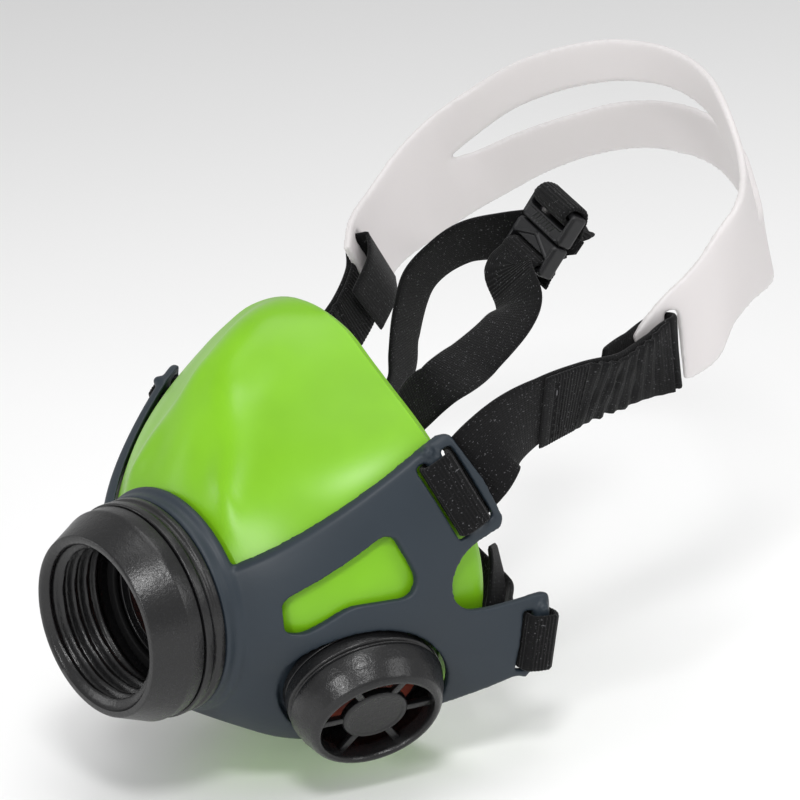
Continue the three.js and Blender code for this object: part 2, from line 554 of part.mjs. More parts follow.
// The cradle's sheet, right end to left end: top edge, the two edges of the gap between its bands
// (null where there is no gap) and bottom edge.
const CRADLE_STATIONS = [
  [[-57, 53, 55], null, [-58, 63, 38]],
  [[-63, 61, 61], null, [-65, 73, 38]],
  [[-68, 73, 66], null, [-69, 84, 42]],
  [[-69, 86, 75], null, [-67, 96, 47]],
  [[-65, 96, 83], [[-64, 99, 69]], [-61, 106, 53]],
  [[-57, 104, 90], [[-57, 105, 76], [-60, 108, 71]], [-54, 114, 58]],
  [[-46, 110.5, 97], [[-46, 111, 84], [-50, 116, 76]], [-44, 121, 64]],
  [[-32, 115.5, 102], [[-32, 116, 89.5], [-36, 122.5, 81]], [-31, 126, 69]],
  [[-16, 119, 105], [[-16, 119, 93], [-19, 127.5, 85.5]], [-16, 130, 72]],
  [[0, 119, 105.4], [[0, 119.5, 94], [0, 129, 86.5]], [0, 131, 72]],
  [[15, 116, 104], [[15, 116.5, 93], [16, 127, 84]], [14, 129, 70]],
  [[29, 110, 101], [[30, 110.5, 89.5], [30, 120.5, 79]], [28, 123, 65]],
  [[42, 102, 95.5], [[42, 102.5, 85], [42, 111, 74]], [40, 114.5, 60]],
  [[53, 94.5, 87], [[53, 95.5, 78], [53, 101, 69]], [51, 105, 55]],
  [[61, 86, 81], [[61.5, 90, 68]], [61, 95, 52]],
  [[66, 78, 77], null, [65, 81.5, 50]],
  [[66.5, 70, 72], null, [66.2, 73.5, 46]],
  [[64, 63, 64], null, [66, 68, 39]],
  [[60, 55, 57], null, [62, 61, 35]],
  [[57, 47, 49], null, [58, 55, 35]],
];
const CRADLE_SLOTS = [
  { middle: [-63.2, 67.2, 48.4], along: unit(-0.18, 0.59, -0.78), through: unit(-0.81, -0.52, -0.2) },
  { middle: [60.8, 58, 43.2], along: unit(-0.05, 0.1, -1), through: unit(0.9, -0.43, 0) },
];

function cradle() {
  const curve = (pick) => new THREE.CatmullRomCurve3(
    CRADLE_STATIONS.map((s) => new THREE.Vector3(...pick(s))), false, "centripetal");
  const between = ([top, , bottom]) => top.map((c, i) => (c + bottom[i]) / 2);
  const edges = [curve((s) => s[0]), curve((s) => s[1]?.[0] ?? between(s)),
    curve((s) => s[1]?.at(-1) ?? between(s)), curve((s) => s[2])];
  const last = CRADLE_STATIONS.length - 1;
  const open = CRADLE_STATIONS.map((s) => s[1]?.length === 2);
  const split = [open.indexOf(true) - 1, open.lastIndexOf(true) + 1];
  const points = [];
  const quads = [];
  const perStation = 2;
  for (let i = 0; i <= last * perStation; i += 1) {
    const t = i / perStation;
    const row = edges.map((edge) => edge.getPoint(t / last));
    if (t <= split[0] || t >= split[1]) row[2] = row[1];
    points.push(...row.map((p) => p.toArray()));
    if (i === 0) continue;
    const shared = (k, j) => 4 * (j ?? i) + (k === 2 && ((j ?? i) / perStation <= split[0]
      || (j ?? i) / perStation >= split[1]) ? 1 : k);
    for (const [k, l] of [[0, 1], [2, 3]]) {
      quads.push([shared(k, i - 1), shared(l, i - 1), shared(l), shared(k)]);
    }
  }
  const used = [...new Set(quads.flat())].sort((a, b) => a - b);
  const sheet = thickened(used.map((k) => points[k]), quads.map((q) => q.map((k) => used.indexOf(k))),
    CRADLE_THICK);
  const slots = CRADLE_SLOTS.map(({ middle, along, through }) =>
    block(middle, along, through.clone().cross(along).normalize(), through, [UPPER_WEB + 1.2, 3.6, 12]));
  return cut(sheet, ...slots, upperLeft(GAP), upperRight(GAP));
}

// ---- Neck buckle --------------------------------------------------------------------------
// Its frame: `bar` runs across the webbing, `back` from the hook to the socket, `out` to the front.
const BUCKLE = frameOf(new THREE.Vector3(4.5, 70.5, 63.5), unit(-0.918, 0.216, 0.335),
  unit(-0.397, -0.41, -0.822));
const BUCKLE_WIDE = NECK_WEB + 3.6;
const BUCKLE_HALF = 9.3;                // length of each half
const BUCKLE_THICK = 5;
const BUCKLE_SLOT = 3.6;
const BUCKLE_SLOT_AT = 6.2;             // middle of each half's webbing slot, from the split
const LATCH = [11, 3.6, 2.6];           // pocket of the socket, across, deep and thick
const inBuckle = (across, down, out) => inTab(BUCKLE, across, down, out);
const buckleBlock = (down, size) => block(inBuckle(0, down, 0), BUCKLE.bar, BUCKLE.back, BUCKLE.out, size);
const buckleHalf = (sign) => cut(
  buckleBlock(sign * (BUCKLE_HALF + GAP) / 2, [BUCKLE_WIDE, BUCKLE_HALF, BUCKLE_THICK]),
  buckleBlock(sign * BUCKLE_SLOT_AT, [NECK_WEB + 1, BUCKLE_SLOT, BUCKLE_THICK + 2]));

const buckleSocket = () => cut(buckleHalf(1), buckleBlock(LATCH[1] / 2 - GAP, LATCH));
const buckleHook = () => join(buckleHalf(-1), buckleBlock(0.8, LATCH.map((size) => size - 2 * GAP)));

// The webbing's way through each half, as [down, outward] in the buckle's frame.
const throughBuckle = (sign, stops) => stops.map(([down, out]) =>
  [inBuckle(0, down, out), BUCKLE.bar.clone().multiplyScalar(sign).toArray()]);
const SOCKET_WRAP = throughBuckle(1, [[12, 4.8], [9.6, 3.8], [7.6, 3.8], [6.2, 2.2], [6.2, -2.2],
  [7.6, -3.8], [9.6, -3.8], [12.6, -4.3]]);
const HOOK_WRAP = throughBuckle(1, [[-5, -4.8], [-8.6, -3.8], [-10.5, -2.4], [-11, 0], [-10.5, 2.4],
  [-8.6, 3.8], [-7.4, 3.8], [-6.2, 2.2], [-6.2, -1.4]]);

// ---- The assembly -------------------------------------------------------------------------
const group = new THREE.Group();
group.name = "respirator";

function add(name, geometry, material) {
  const mesh = new THREE.Mesh(closedMesh(geometry), material);
  mesh.name = name;
  group.add(mesh);
}

add("facepiece", facepiece(), FINISH.silicone());
add("yoke", yoke(), FINISH.yoke());
add("filter_connector", connector(), FINISH.black());
add("clamp_collar", clampCollar(), FINISH.black());
add("port_lock_nut", lockNut(), FINISH.black());
add("filter_gasket", gasket(), FINISH.rubber());
add("inhalation_valve_seat", inhalationSeat(), FINISH.black());
add("inhalation_flap", inhalationFlap(), FINISH.disc());

const valvePieces = [
  ["exhalation_valve_base", valveBase(), FINISH.black],
  ["exhalation_valve_nut", valveNut(), FINISH.black],
  ["exhalation_flap", valveFlap(), FINISH.disc],
  ["exhalation_cover", valveCover(), FINISH.black],
];
for (const [name, geometry, material] of valvePieces) {
  add(`${name}_left`, geometry, material());
  add(`${name}_right`, mirrored(geometry), material());
}

add("head_cradle", cradle(), FINISH.cradle());
add("upper_strap_left", upperLeft(), FINISH.webbing());
add("upper_strap_right", upperRight(), FINISH.webbing());
add("neck_strap_left", neckLeft(), FINISH.webbing());
add("neck_strap_right", neckRight(), FINISH.webbing());
add("neck_buckle_socket", buckleSocket(), FINISH.buckle());
add("neck_buckle_hook", buckleHook(), FINISH.buckle());

export default group;
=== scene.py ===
"""Half-mask respirator: the finished looks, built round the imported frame.

Metres in the row frame. -Y points out of the filter port, +Z to the bridge of the nose,
+X to the wearer's left. Shapes are worked out in millimetres and scaled when a mesh is made.
"""
import math

import bmesh
import bpy
import numpy as np
from mathutils import Matrix, Vector


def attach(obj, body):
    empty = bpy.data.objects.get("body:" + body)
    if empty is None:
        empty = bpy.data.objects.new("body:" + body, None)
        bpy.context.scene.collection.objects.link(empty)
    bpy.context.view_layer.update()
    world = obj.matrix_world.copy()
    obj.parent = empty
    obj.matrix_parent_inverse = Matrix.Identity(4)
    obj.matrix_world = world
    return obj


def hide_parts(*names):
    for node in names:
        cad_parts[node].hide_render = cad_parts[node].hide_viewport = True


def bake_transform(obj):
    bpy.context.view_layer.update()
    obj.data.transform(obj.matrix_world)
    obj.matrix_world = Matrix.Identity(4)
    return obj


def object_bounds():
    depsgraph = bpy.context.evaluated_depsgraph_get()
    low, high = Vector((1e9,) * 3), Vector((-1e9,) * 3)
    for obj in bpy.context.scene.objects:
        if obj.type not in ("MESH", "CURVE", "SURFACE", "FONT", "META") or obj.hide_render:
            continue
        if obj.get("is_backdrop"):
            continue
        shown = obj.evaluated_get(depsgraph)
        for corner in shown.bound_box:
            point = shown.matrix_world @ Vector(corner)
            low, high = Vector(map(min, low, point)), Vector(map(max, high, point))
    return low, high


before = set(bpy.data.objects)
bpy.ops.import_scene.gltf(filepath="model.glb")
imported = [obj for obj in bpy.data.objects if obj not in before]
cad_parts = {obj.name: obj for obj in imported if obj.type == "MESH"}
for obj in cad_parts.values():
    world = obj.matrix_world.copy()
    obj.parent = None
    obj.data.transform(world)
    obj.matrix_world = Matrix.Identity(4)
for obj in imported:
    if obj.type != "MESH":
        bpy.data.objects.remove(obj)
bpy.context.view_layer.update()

bl_info = {
    "name": "Half-mask respirator",
    "version": (1, 0, 0),
    "blender": (4, 5, 0),
    "location": "View3D > Sidebar > Respirator",
    "description": "Builds a half-mask respirator with its harness round a packed frame",
    "category": "Object",
}

MM = 0.001
GAP = 0.3          # clearance between parts that don't touch, mm
WELD = 1e-7        # points closer than this are one, m


def linear(hex_colour):
    """A hex colour as linear red, green and blue."""
    parts = [int(hex_colour[i:i + 2], 16) / 255 for i in (0, 2, 4)]
    return tuple(p / 12.92 if p <= 0.04045 else ((p + 0.055) / 1.055) ** 2.4 for p in parts)


# ---- Settings -----------------------------------------------------------------------------
def length(name, description, default):
    """A size in millimetres that a user may change."""
    return bpy.props.FloatProperty(name=name, description=description, default=default, min=0.01)


def colour(name, description, hex_colour):
    """A linear colour that a user may change."""
    return bpy.props.FloatVectorProperty(
        name=name, description=description, default=linear(hex_colour), subtype="COLOR",
        min=0, max=1)


class MaskSizes(bpy.types.PropertyGroup):
    """Sizes of the mask's fine detail, in millimetres."""

    thread_pitch: length("Thread pitch", "Pitch of the port's round thread, mm", 3.63)
    thread_depth: length("Thread depth", "Height of the thread's ridges, mm", 1.9)
    crease_height: length("Crease height", "How far the nose panel's edge stands proud, mm", 1.3)
    crease_width: length("Crease width", "Half width of the nose panel's edge, mm", 7.5)
    rib_pitch: length("Rib pitch", "Spacing of the webbing's ribs, mm", 0.95)
    rib_height: length("Rib height", "Height of the webbing's ribs, mm", 0.11)
    upper_web: length("Upper webbing", "Width of the upper straps, mm", 20)
    neck_web: length("Neck webbing", "Width of the neck straps, mm", 15)
    web_thick: length("Webbing thickness", "Thickness of all the webbing, mm", 1.2)


class MaskColours(bpy.types.PropertyGroup):
    """Base colours of the finishes."""

    silicone: colour("Silicone", "Facepiece", "72ac14")
    yoke: colour("Yoke", "Rigid yoke over the facepiece", "212a32")
    black: colour("Black plastic", "Filter port and valve covers", "111112")
    flap: colour("Valve flaps", "Thin silicone discs", "8d4030")
    webbing: colour("Webbing", "Elastic straps", "0c0c0d")
    cradle: colour("Cradle", "Milky head cradle", "cfcaca")
    buckle: colour("Buckle", "Neck buckle", "19191b")
    floor: colour("Floor", "Floor and backdrop", "f4f4f4")


def sizes():
    return bpy.context.scene.mask_sizes


def colours():
    return bpy.context.scene.mask_colours


# ---- Shader maths -------------------------------------------------------------------------
class Value:
    """A shader socket that can be used in Python sums."""

    def __init__(self, sheet, socket):
        self.sheet, self.socket = sheet, socket

    def math(self, operation, *others):
        inputs = {i: v for i, v in enumerate((self, *others))}
        return self.sheet.node("ShaderNodeMath", {"operation": operation}, inputs)

    def __add__(self, other):
        return self.math("ADD", other)

    def __sub__(self, other):
        return self.math("SUBTRACT", other)

    def __mul__(self, other):
        return self.math("MULTIPLY", other)

    def __rsub__(self, other):
        return self.sheet.node("ShaderNodeMath", {"operation": "SUBTRACT"}, {0: other, 1: self})

    __radd__, __rmul__ = __add__, __mul__

    def step(self, low, high):
        """0 below `low`, 1 above `high`, smooth between."""
        return self.sheet.node("ShaderNodeMapRange", {"interpolation_type": "SMOOTHSTEP"},
                               {"Value": self, "From Min": low, "From Max": high})


class Sheet:
    """A material and the nodes behind its Principled shader."""

    def __init__(self, name):
        self.material = bpy.data.materials.new(name)
        self.material.use_nodes = True
        self.nodes = self.material.node_tree.nodes
        self.links = self.material.node_tree.links
        self.shader = next(n for n in self.nodes if n.type == "BSDF_PRINCIPLED")

    def put(self, socket, value):
        if isinstance(value, Value):
            self.links.new(value.socket, socket)
        elif socket.type == "RGBA":
            socket.default_value = (*value[:3], 1)
        else:
            socket.default_value = value

    def node(self, kind, settings, inputs, output=0):
        made = self.nodes.new(kind)
        for key, value in settings.items():
            setattr(made, key, value)
        for key, value in inputs.items():
            self.put(made.inputs[key], value)
        return Value(self, made.outputs[output])

    def place(self):
        return self.node("ShaderNodeTexCoord", {}, {}, "Object")

    def noise(self, scale, detail=2.0, place=None):
        return self.node("ShaderNodeTexNoise", {}, {
            "Vector": place or self.place(), "Scale": scale, "Detail": detail})

    def blend(self, factor, a, b):
        return self.node("ShaderNodeMix", {"data_type": "RGBA"}, {0: factor, 6: a, 7: b}, 2)

    def bump(self, height, distance, strength=1.0, under=None):
        inputs = {"Height": height, "Distance": distance, "Strength": strength}
        if under:
            inputs["Normal"] = under
        return self.node("ShaderNodeBump", {}, inputs)

    def finish(self, **inputs):
        for key, value in inputs.items():
            self.put(self.shader.inputs[key.replace("_", " ")], value)
        return self.material


def tinted(base, factor):
    return tuple(min(1.0, c * factor) for c in base[:3])


def silicone_finish():
    """Satin moulded silicone with faint cloudiness and a fine moulding texture."""
    m, base = Sheet("green_silicone"), colours().silicone
    cloud = m.noise(38, 3)
    grain = m.noise(1500, 2)
    return m.finish(
        Base_Color=m.blend(cloud.step(0.3, 0.7), tinted(base, 0.93), tinted(base, 1.05)),
        Roughness=cloud * 0.08 + 0.28, Normal=m.bump(grain, 0.00003, 0.25),
        Subsurface_Weight=0.12, Subsurface_Radius=(0.004, 0.005, 0.0015), Subsurface_Scale=1.0,
        Specular_IOR_Level=0.35)


def moulded_finish(name, colour_name, rough, grain_height, painted_glint_share, gloss):
    """Moulded plastic: an eroded surface, worn and uneven gloss, and painted glints on its tiny
    facets.
    """
    m, base = Sheet(name), getattr(colours(), colour_name)
    fine, coarse = m.noise(2600, 2), m.noise(700, 3)
    wear = m.noise(55, 4)
    # Painted glints: specks of much brighter base colour stand for light caught by the surface's
    # tiny facets.
    flecks = m.noise(3400, 0).step(0.68, 0.78) * painted_glint_share
    return m.finish(
        Base_Color=m.blend(flecks, m.blend(wear, tinted(base, 0.86), tinted(base, 1.14)),
                           tinted(base, 5)),
        Roughness=wear * 0.16 + (rough - 0.08) - flecks * 0.2,
        Normal=m.bump(coarse + fine * 0.6, grain_height, 0.5), Specular_IOR_Level=gloss)


def webbing_finish():
    """Elastic webbing: ribs across, warp threads along, painted shade in the grooves between
    threads, lint and light flecks.
    """
    m, base, s = Sheet("webbing"), colours().webbing, sizes()
    weave = m.node("ShaderNodeAttribute", {"attribute_name": "weave"}, {}, "Vector")
    split = m.node("ShaderNodeSeparateXYZ", {}, {0: weave})
    along, across = split, Value(m, split.socket.node.outputs[1])
    turn = 2 * math.pi
    ribs = (along * (turn / s.rib_pitch)).math("SINE")
    warp = (across * (turn / 0.62)).math("SINE")
    picks = (along * (turn / 0.48) + warp * 1.6).math("SINE")
    thread = ribs * 0.45 + warp * 0.3 + picks * 0.25
    fuzz = m.noise(9, 3, weave)
    lint = m.noise(2.6, 1, weave).step(0.68, 0.74)
    # Painted shade: darker in the grooves between ribs and threads, lighter on their crests; the
    # fuzz term adds random tone.
    shade = (thread * 0.5 + 0.5) * 0.5 + fuzz * 0.5
    plain = m.blend(shade, tinted(base, 0.6), tinted(base, 1.6))
    return m.finish(
        Base_Color=m.blend(lint * 0.5, plain, linear("77777a")), Roughness=fuzz * 0.15 + 0.78,
        Normal=m.bump(thread * 0.35 + fuzz * 0.4, 0.0002, 0.7),
        Sheen_Weight=0.08, Sheen_Roughness=0.5, Specular_IOR_Level=0.12)


def cradle_finish():
    """Milky flexible plastic that lets some light through."""
    m, base = Sheet("clear_cradle"), colours().cradle
    haze = m.noise(30, 3)
    return m.finish(
        Base_Color=m.blend(haze, tinted(base, 0.97), tinted(base, 1.03)),
        Roughness=haze * 0.12 + 0.36, Normal=m.bump(m.noise(420, 2), 0.00004, 0.3),
        Subsurface_Weight=0.55, Subsurface_Radius=(0.01, 0.01, 0.01), Subsurface_Scale=1.0,
        Transmission_Weight=0.12)


def flap_finish():
    m, base = Sheet("flap_silicone"), colours().flap
    cloud = m.noise(160, 3)
    return m.finish(
        Base_Color=m.blend(cloud, tinted(base, 0.85), tinted(base, 1.15)),
        Roughness=cloud * 0.1 + 0.38, Normal=m.bump(m.noise(1800, 2), 0.00002, 0.3))


# Colour, roughness, grain height in metres, share of painted glint flecks, and specular level.
MOULDED = {
    "slate_plastic": ("yoke", 0.46, 0.00005, 0.0, 0.35),
    "black_plastic": ("black", 0.3, 0.00016, 0.5, 0.42),
    "black_rubber": ("black", 0.66, 0.00006, 0.0, 0.2),
    "buckle_plastic": ("buckle", 0.42, 0.00005, 0.0, 0.35),
}
SOFT = {
    "green_silicone": silicone_finish,
    "flap_silicone": flap_finish,
    "webbing": webbing_finish,
    "clear_cradle": cradle_finish,
}
FINISHES = {}


def finish_of(name):
    """The named finish, made on first use."""
    if name not in FINISHES:
        FINISHES[name] = SOFT[name]() if name in SOFT else moulded_finish(name, *MOULDED[name])
    return FINISHES[name]


# ---- Meshes -------------------------------------------------------------------------------
def vec(*xyz):
    return np.array(xyz, float)


def unit(v):
    v = np.asarray(v, float)
    return v / np.linalg.norm(v)


def linked(name, data):
    """A new object in the scene."""
    made = bpy.data.objects.new(name, data)
    bpy.context.scene.collection.objects.link(made)
    return made


def reworked(mesh, *changes):
    """Runs each change on the whole of a mesh."""
    work = bmesh.new()
    work.from_mesh(mesh)
    for change in changes:
        change(work)
    work.to_mesh(mesh)
    work.free()


def faced_out(work):
    bmesh.ops.recalc_face_normals(work, faces=work.faces)


def solid(name, points, faces):
    """An object from points in millimetres, with its faces turned outward."""
    mesh = bpy.data.meshes.new(name)
    mesh.from_pydata([tuple(np.asarray(p, float) * MM) for p in points], [], faces)
    reworked(mesh, lambda work: bmesh.ops.remove_doubles(work, verts=work.verts, dist=WELD),
             faced_out)
    return linked(name, mesh)


def settled(piece):
    """Turns a piece's modifiers into its mesh."""
    graph = bpy.context.evaluated_depsgraph_get()
    graph.update()
    mesh = bpy.data.meshes.new_from_object(piece.evaluated_get(graph))
    old = piece.data
    piece.modifiers.clear()
    piece.data = mesh
    bpy.data.meshes.remove(old)
    return piece


def combined(body, operation, *tools):
    """Cuts tools from a body, or adds them to it."""
    for tool in tools:
        step = body.modifiers.new("combine", "BOOLEAN")
        step.operation, step.solver, step.object = operation, "MANIFOLD", tool
        settled(body)
        bpy.data.objects.remove(tool)
    return body


def rounded_off(piece, voxel, rounds):
    """Softens every edge of a piece, as a mould does. `voxel` is in millimetres."""
    remesh = piece.modifiers.new("remesh", "REMESH")
    remesh.mode, remesh.voxel_size = "VOXEL", voxel * MM
    soft = piece.modifiers.new("soften", "SMOOTH")
    soft.factor, soft.iterations = 0.5, rounds
    return settled(piece)


def shown(piece, name, body, slot, *nodes, sharp=40):
    """Names a piece, gives it its finish, and lets it ride on a body in place of CAD nodes."""
    piece.name = name
    piece.data.materials.clear()
    piece.data.materials.append(finish_of(slot))
    piece.data.shade_smooth()
    piece.data.set_sharp_from_angle(angle=math.radians(sharp))
    if nodes:
        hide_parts(*nodes)
    if body:
        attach(piece, body)
    return piece


def mirrored(piece, name):
    """A copy of a piece for the wearer's right."""
    twin = piece.copy()
    twin.data = piece.data.copy()
    bpy.context.scene.collection.objects.link(twin)
    twin.data.transform(Matrix.Scale(-1, 4, (1, 0, 0)))
    twin.data.flip_normals()
    twin.name = name
    return twin


def filleted(points, radius, closed=True, rounds=4):
    """Rounds the corners of a flat line of points."""
    pts = [np.asarray(p, float) for p in points]
    out = []
    for i, p in enumerate(pts):
        if not closed and i in (0, len(pts) - 1):
            out.append(p)
            continue
        a, b = pts[i - 1], pts[(i + 1) % len(pts)]
        la, lb = np.linalg.norm(a - p), np.linalg.norm(b - p)
        cut = min(radius, 0.45 * la, 0.45 * lb)
        start, end = p + (a - p) / la * cut, p + (b - p) / lb * cut
        for k in range(rounds + 1):
            t = k / rounds
            out.append((1 - t) ** 2 * start + 2 * t * (1 - t) * p + t * t * end)
    return out


def spread(axis, count):
    """Unit vectors at equal angles about an axis."""
    up = unit(axis)
    side = unit(np.cross([0, 0, 1], up))
    other = np.cross(up, side)
    turns = [2 * math.pi * i / count for i in range(count)]
    return [side * math.cos(a) + other * math.sin(a) for a in turns]


def skin(loops, n, round_trip, ring=True):
    """Faces between neighbouring loops of n points, on from the last to the first if asked."""
    faces = []
    for i in range(loops if round_trip else loops - 1):
        j = (i + 1) % loops
        for k in range(n if ring else n - 1):
            m = (k + 1) % n
            faces.append((i * n + k, j * n + k, j * n + m, i * n + m))
    return faces


def lathe(profile, at, axis, segments=96, closed=True):
    """A turned solid. The profile is [radius, height], height along `axis` from `at`."""
    up = unit(axis)
    points = [vec(*at) + out * r + up * h for out in spread(axis, segments) for r, h in profile]
    return solid("turned", points, skin(segments, len(profile), True, closed))


def tube(inner, outer, low, high, at, axis, edge=0.35, segments=96):
    """A turned ring with rounded edges."""
    corners = [[inner, low], [outer, low], [outer, high], [inner, high]]
    return lathe(filleted(corners, edge), at, axis, segments)


def puck(radius, low, high, at, axis, edge=0.4, segments=96):
    """A turned disc with rounded edges."""
    corners = [[0, low], [radius, low], [radius, high], [0, high]]
    return lathe(filleted(corners, edge, closed=False), at, axis, segments, closed=False)


def block(at, u, v, n, size, edge=0.0):
    """A box along its own axes, with rounded edges."""
    corners = [vec(*at) + unit(u) * size[0] / 2 * a + unit(v) * size[1] / 2 * b
               + unit(n) * size[2] / 2 * c for a in (-1, 1) for b in (-1, 1) for c in (-1, 1)]
    faces = [(0, 1, 3, 2), (4, 6, 7, 5), (0, 4, 5, 1), (2, 3, 7, 6), (0, 2, 6, 4), (1, 5, 7, 3)]
    made = solid("block", corners, faces)
    if edge:
        reworked(made.data, lambda work: bmesh.ops.bevel(
            work, geom=work.edges, offset=edge * MM, segments=3, affect="EDGES", profile=0.5))
    return made


def hermite(a, slope_a, b, slope_b, t):
    """A smooth way from a to b with the given slopes at its ends."""
    return ((2 * t ** 3 - 3 * t ** 2 + 1) * a + (t ** 3 - 2 * t ** 2 + t) * slope_a
            + (3 * t ** 2 - 2 * t ** 3) * b + (t ** 3 - t ** 2) * slope_b)


class Curve:
    """A smooth line through points, the same one that the solids are swept along."""

    def __init__(self, points):
        p = [np.asarray(q, float) for q in points]
        self.points = [2 * p[0] - p[1], *p, 2 * p[-1] - p[-2]]

    def at(self, t):
        spans = len(self.points) - 3
        k = min(int(t * spans), spans - 1)
        u = t * spans - k
        p0, p1, p2, p3 = self.points[k:k + 4]
        d0, d1, d2 = (max(np.linalg.norm(b - a), 1e-8) ** 0.5
                      for a, b in ((p0, p1), (p1, p2), (p2, p3)))
        m1 = ((p1 - p0) / d0 - (p2 - p0) / (d0 + d1) + (p2 - p1) / d1) * d1
        m2 = ((p2 - p1) / d1 - (p3 - p1) / (d1 + d2) + (p3 - p2) / d2) * d1
        return hermite(p1, m1, p2, m2, u)


# ---- The mask's surfaces ------------------------------------------------------------------
RING_R, RING_Y = 26.0, -58.6
FACE_WALL, YOKE_CLEAR, YOKE_WALL = 2.4, 0.55, 2.4
NECK_R = 21.6
MOUTH_Y, SHELF_Y, PORT_BACK_Y, THREAD_END_Y = -84.0, -63.2, -53, -67
MOUTH_R, MOUTH_LIP, FLARE_R, WAIST_R, THREAD_R, SHELF_R = 22.8, 1.5, 26.7, 23.8, 20.4, 16.6
# An angle about the port's axis, 0 at the nose and 180 at the chin, then the [radius, y] of the
# two handles and the end of the curve that a wall follows from the front ring.
FACE_KEYS = [
    [0, 41, -50.5, 68, -38, 65, -13], [16, 40.5, -50.5, 50.5, -39, 63, -13.5],
    [27, 40, -51.5, 46.5, -38.5, 60.5, -14.5], [38, 38.5, -52, 48, -37.5, 59.5, -15],
    [56, 39, -49.5, 52.3, -34.7, 60, -14.5], [75, 39, -50, 52, -36, 55.5, -9],
    [95, 38, -51, 50, -37, 53.5, -7], [120, 31, -49, 40, -36, 50, -6],
    [150, 34, -51, 47, -36, 50, -6], [180, 35, -51, 49, -34, 52, -6],
]
WING_KEYS = [
    [0, 41, -50.5, 68, -38, 65, -13], [38, 40, -51, 54, -37, 64, -13],
    [56, 39, -49.5, 53, -35, 63.5, -11], [75, 39.5, -50, 52, -37, 60, -1],
    [95, 38.5, -51, 50, -38, 60, 8], [108, 34, -50, 45, -38, 62, 6],
    [120, 31.5, -49, 41, -37, 61, 2], [150, 35, -51, 48, -36, 54, 0],
    [180, 36, -51, 50, -34, 54, -4],
]


def keyed(keys, angle):
    """The keys' values at any angle, mirrored at nose and chin."""
    folded = abs((angle + 180) % 360 - 180)
    rows = np.array([[-keys[1][0], *keys[1][1:]], *keys, [360 - keys[-2][0], *keys[-2][1:]]],
                    float)
    k = 1
    while k < len(rows) - 3 and folded > rows[k + 1][0]:
        k += 1
    p0, p1, p2, p3 = rows[k - 1:k + 3]
    span = p2[0] - p1[0]
    t = (folded - p1[0]) / span
    m1 = (p2 - p0)[1:] / (p2 - p0)[0] * span
    m2 = (p3 - p1)[1:] / (p3 - p1)[0] * span
    return hermite(p1[1:], m1, p2[1:], m2, t)


def wall_at(keys, angle, s):
    """Radius, y and outward normal of a wall, s from 0 at the ring to 1 at its edge."""
    v = keyed(keys, angle)
    p = [vec(RING_R, RING_Y), v[0:2], v[2:4], v[4:6]]
    q = 1 - s
    point = q ** 3 * p[0] + 3 * q * q * s * p[1] + 3 * q * s * s * p[2] + s ** 3 * p[3]
    along = unit(q * q * (p[1] - p[0]) + 2 * q * s * (p[2] - p[1]) + s * s * (p[3] - p[2]))
    return point, vec(along[1], -along[0])


def polar(angle, r, y):
    a = math.radians(angle)
    return vec(r * math.sin(a), y, r * math.cos(a))


def loft_round(profile, angles, closed):
    """A surface swept round the port's axis from closed loops of [radius, y]."""
    loops = [[polar(a, r, y) for r, y in profile(a)] for a in angles]
    n = len(loops[0])
    faces = skin(len(loops), n, closed)
    if not closed:
        last = (len(loops) - 1) * n
        for base in (0, last):
            faces += [(base + k - 1, base + k, base + n - 1 - k, base + n - k)
                      for k in range(1, n // 2)]
    return solid("loft", [p for loop in loops for p in loop], faces)


CREASE = [(28, 40), (29.8, 38), (35.5, 26), (41.7, 16.4), (48.5, 8.8), (56.9, 1.6), (60, 0)]


def crease_at(angle, r):
    """Height of the soft edge that frames the nose panel."""
    s = sizes()
    edge = np.interp(r, [c[0] for c in CREASE], [c[1] for c in CREASE])
    folded = abs((angle + 180) % 360 - 180)
    away = abs(folded - edge) * math.radians(1) * r / s.crease_width
    fade = np.clip((r - 27.5) / 6, 0, 1) * np.clip((60 - r) / 8, 0, 1)
    return s.crease_height * fade * math.exp(-away * away * 2.2)


def facepiece_profile(angle):
    outer = []
    for s in np.linspace(0, 1, 41):
        p, n = wall_at(FACE_KEYS, angle, s)
        outer.append(p + n * crease_at(angle, p[0]))
    edge = outer[-1]
    inner = []
    for s in np.linspace(0.9, 0.04, 26):
        p, n = wall_at(FACE_KEYS, angle, s)
        inner.append(p - n * FACE_WALL)
    lip = filleted([outer[-2], edge + vec(-0.9, 2.2), edge + vec(-3.5, 3.2),
                    edge + vec(-10.5, 0.4), edge + vec(-10.2, -1.0), edge + vec(-4.4, 0.6),
                    inner[0]], 2.4, closed=False, rounds=5)[1:-1]
    return [vec(NECK_R + GAP, RING_Y - 0.4), vec(RING_R - 1, RING_Y - 0.4), *outer, *lip, *inner,
            vec(NECK_R + GAP, RING_Y + 2.2)]


# Side outline of the left wing and its window, as [y, z].
WING_OUTLINE = [
    [-64, 10.6], [-17.3, 37.8], [-12.4, 39.8], [-3.4, 16.6], [-4.4, 14.2], [-10.5, 12.4],
    [-14.8, 10], [-18.4, 5], [-18.2, -1.2], [-14.6, -4.7], [-8, -5.6], [6.8, -5.2], [8.6, -7],
    [6.4, -27.6], [3.2, -28.6], [0.2, -26.2], [-11, -31], [-36, -40.5], [-46, -37.6], [-64, -27],
]
WING_WINDOW = [[-54.6, 5.4], [-33, 18.2], [-30.4, 17.4], [-26.6, 6.2], [-28.6, 2.2], [-42, 2.6],
               [-51, -3.4], [-54.6, -2.6]]


def side_prism(outline, low, high, radius):
    """A side outline pushed along X from `low` to `high`."""
    loop = filleted(outline, radius)
    n = len(loop)
    points = [vec(x, y, z) for x in (low, high) for y, z in loop]
    faces = [tuple(range(n)), tuple(range(2 * n - 1, n - 1, -1))]
    faces += [(k, (k + 1) % n, n + (k + 1) % n, n + k) for k in range(n)]
    return solid("prism", points, faces)


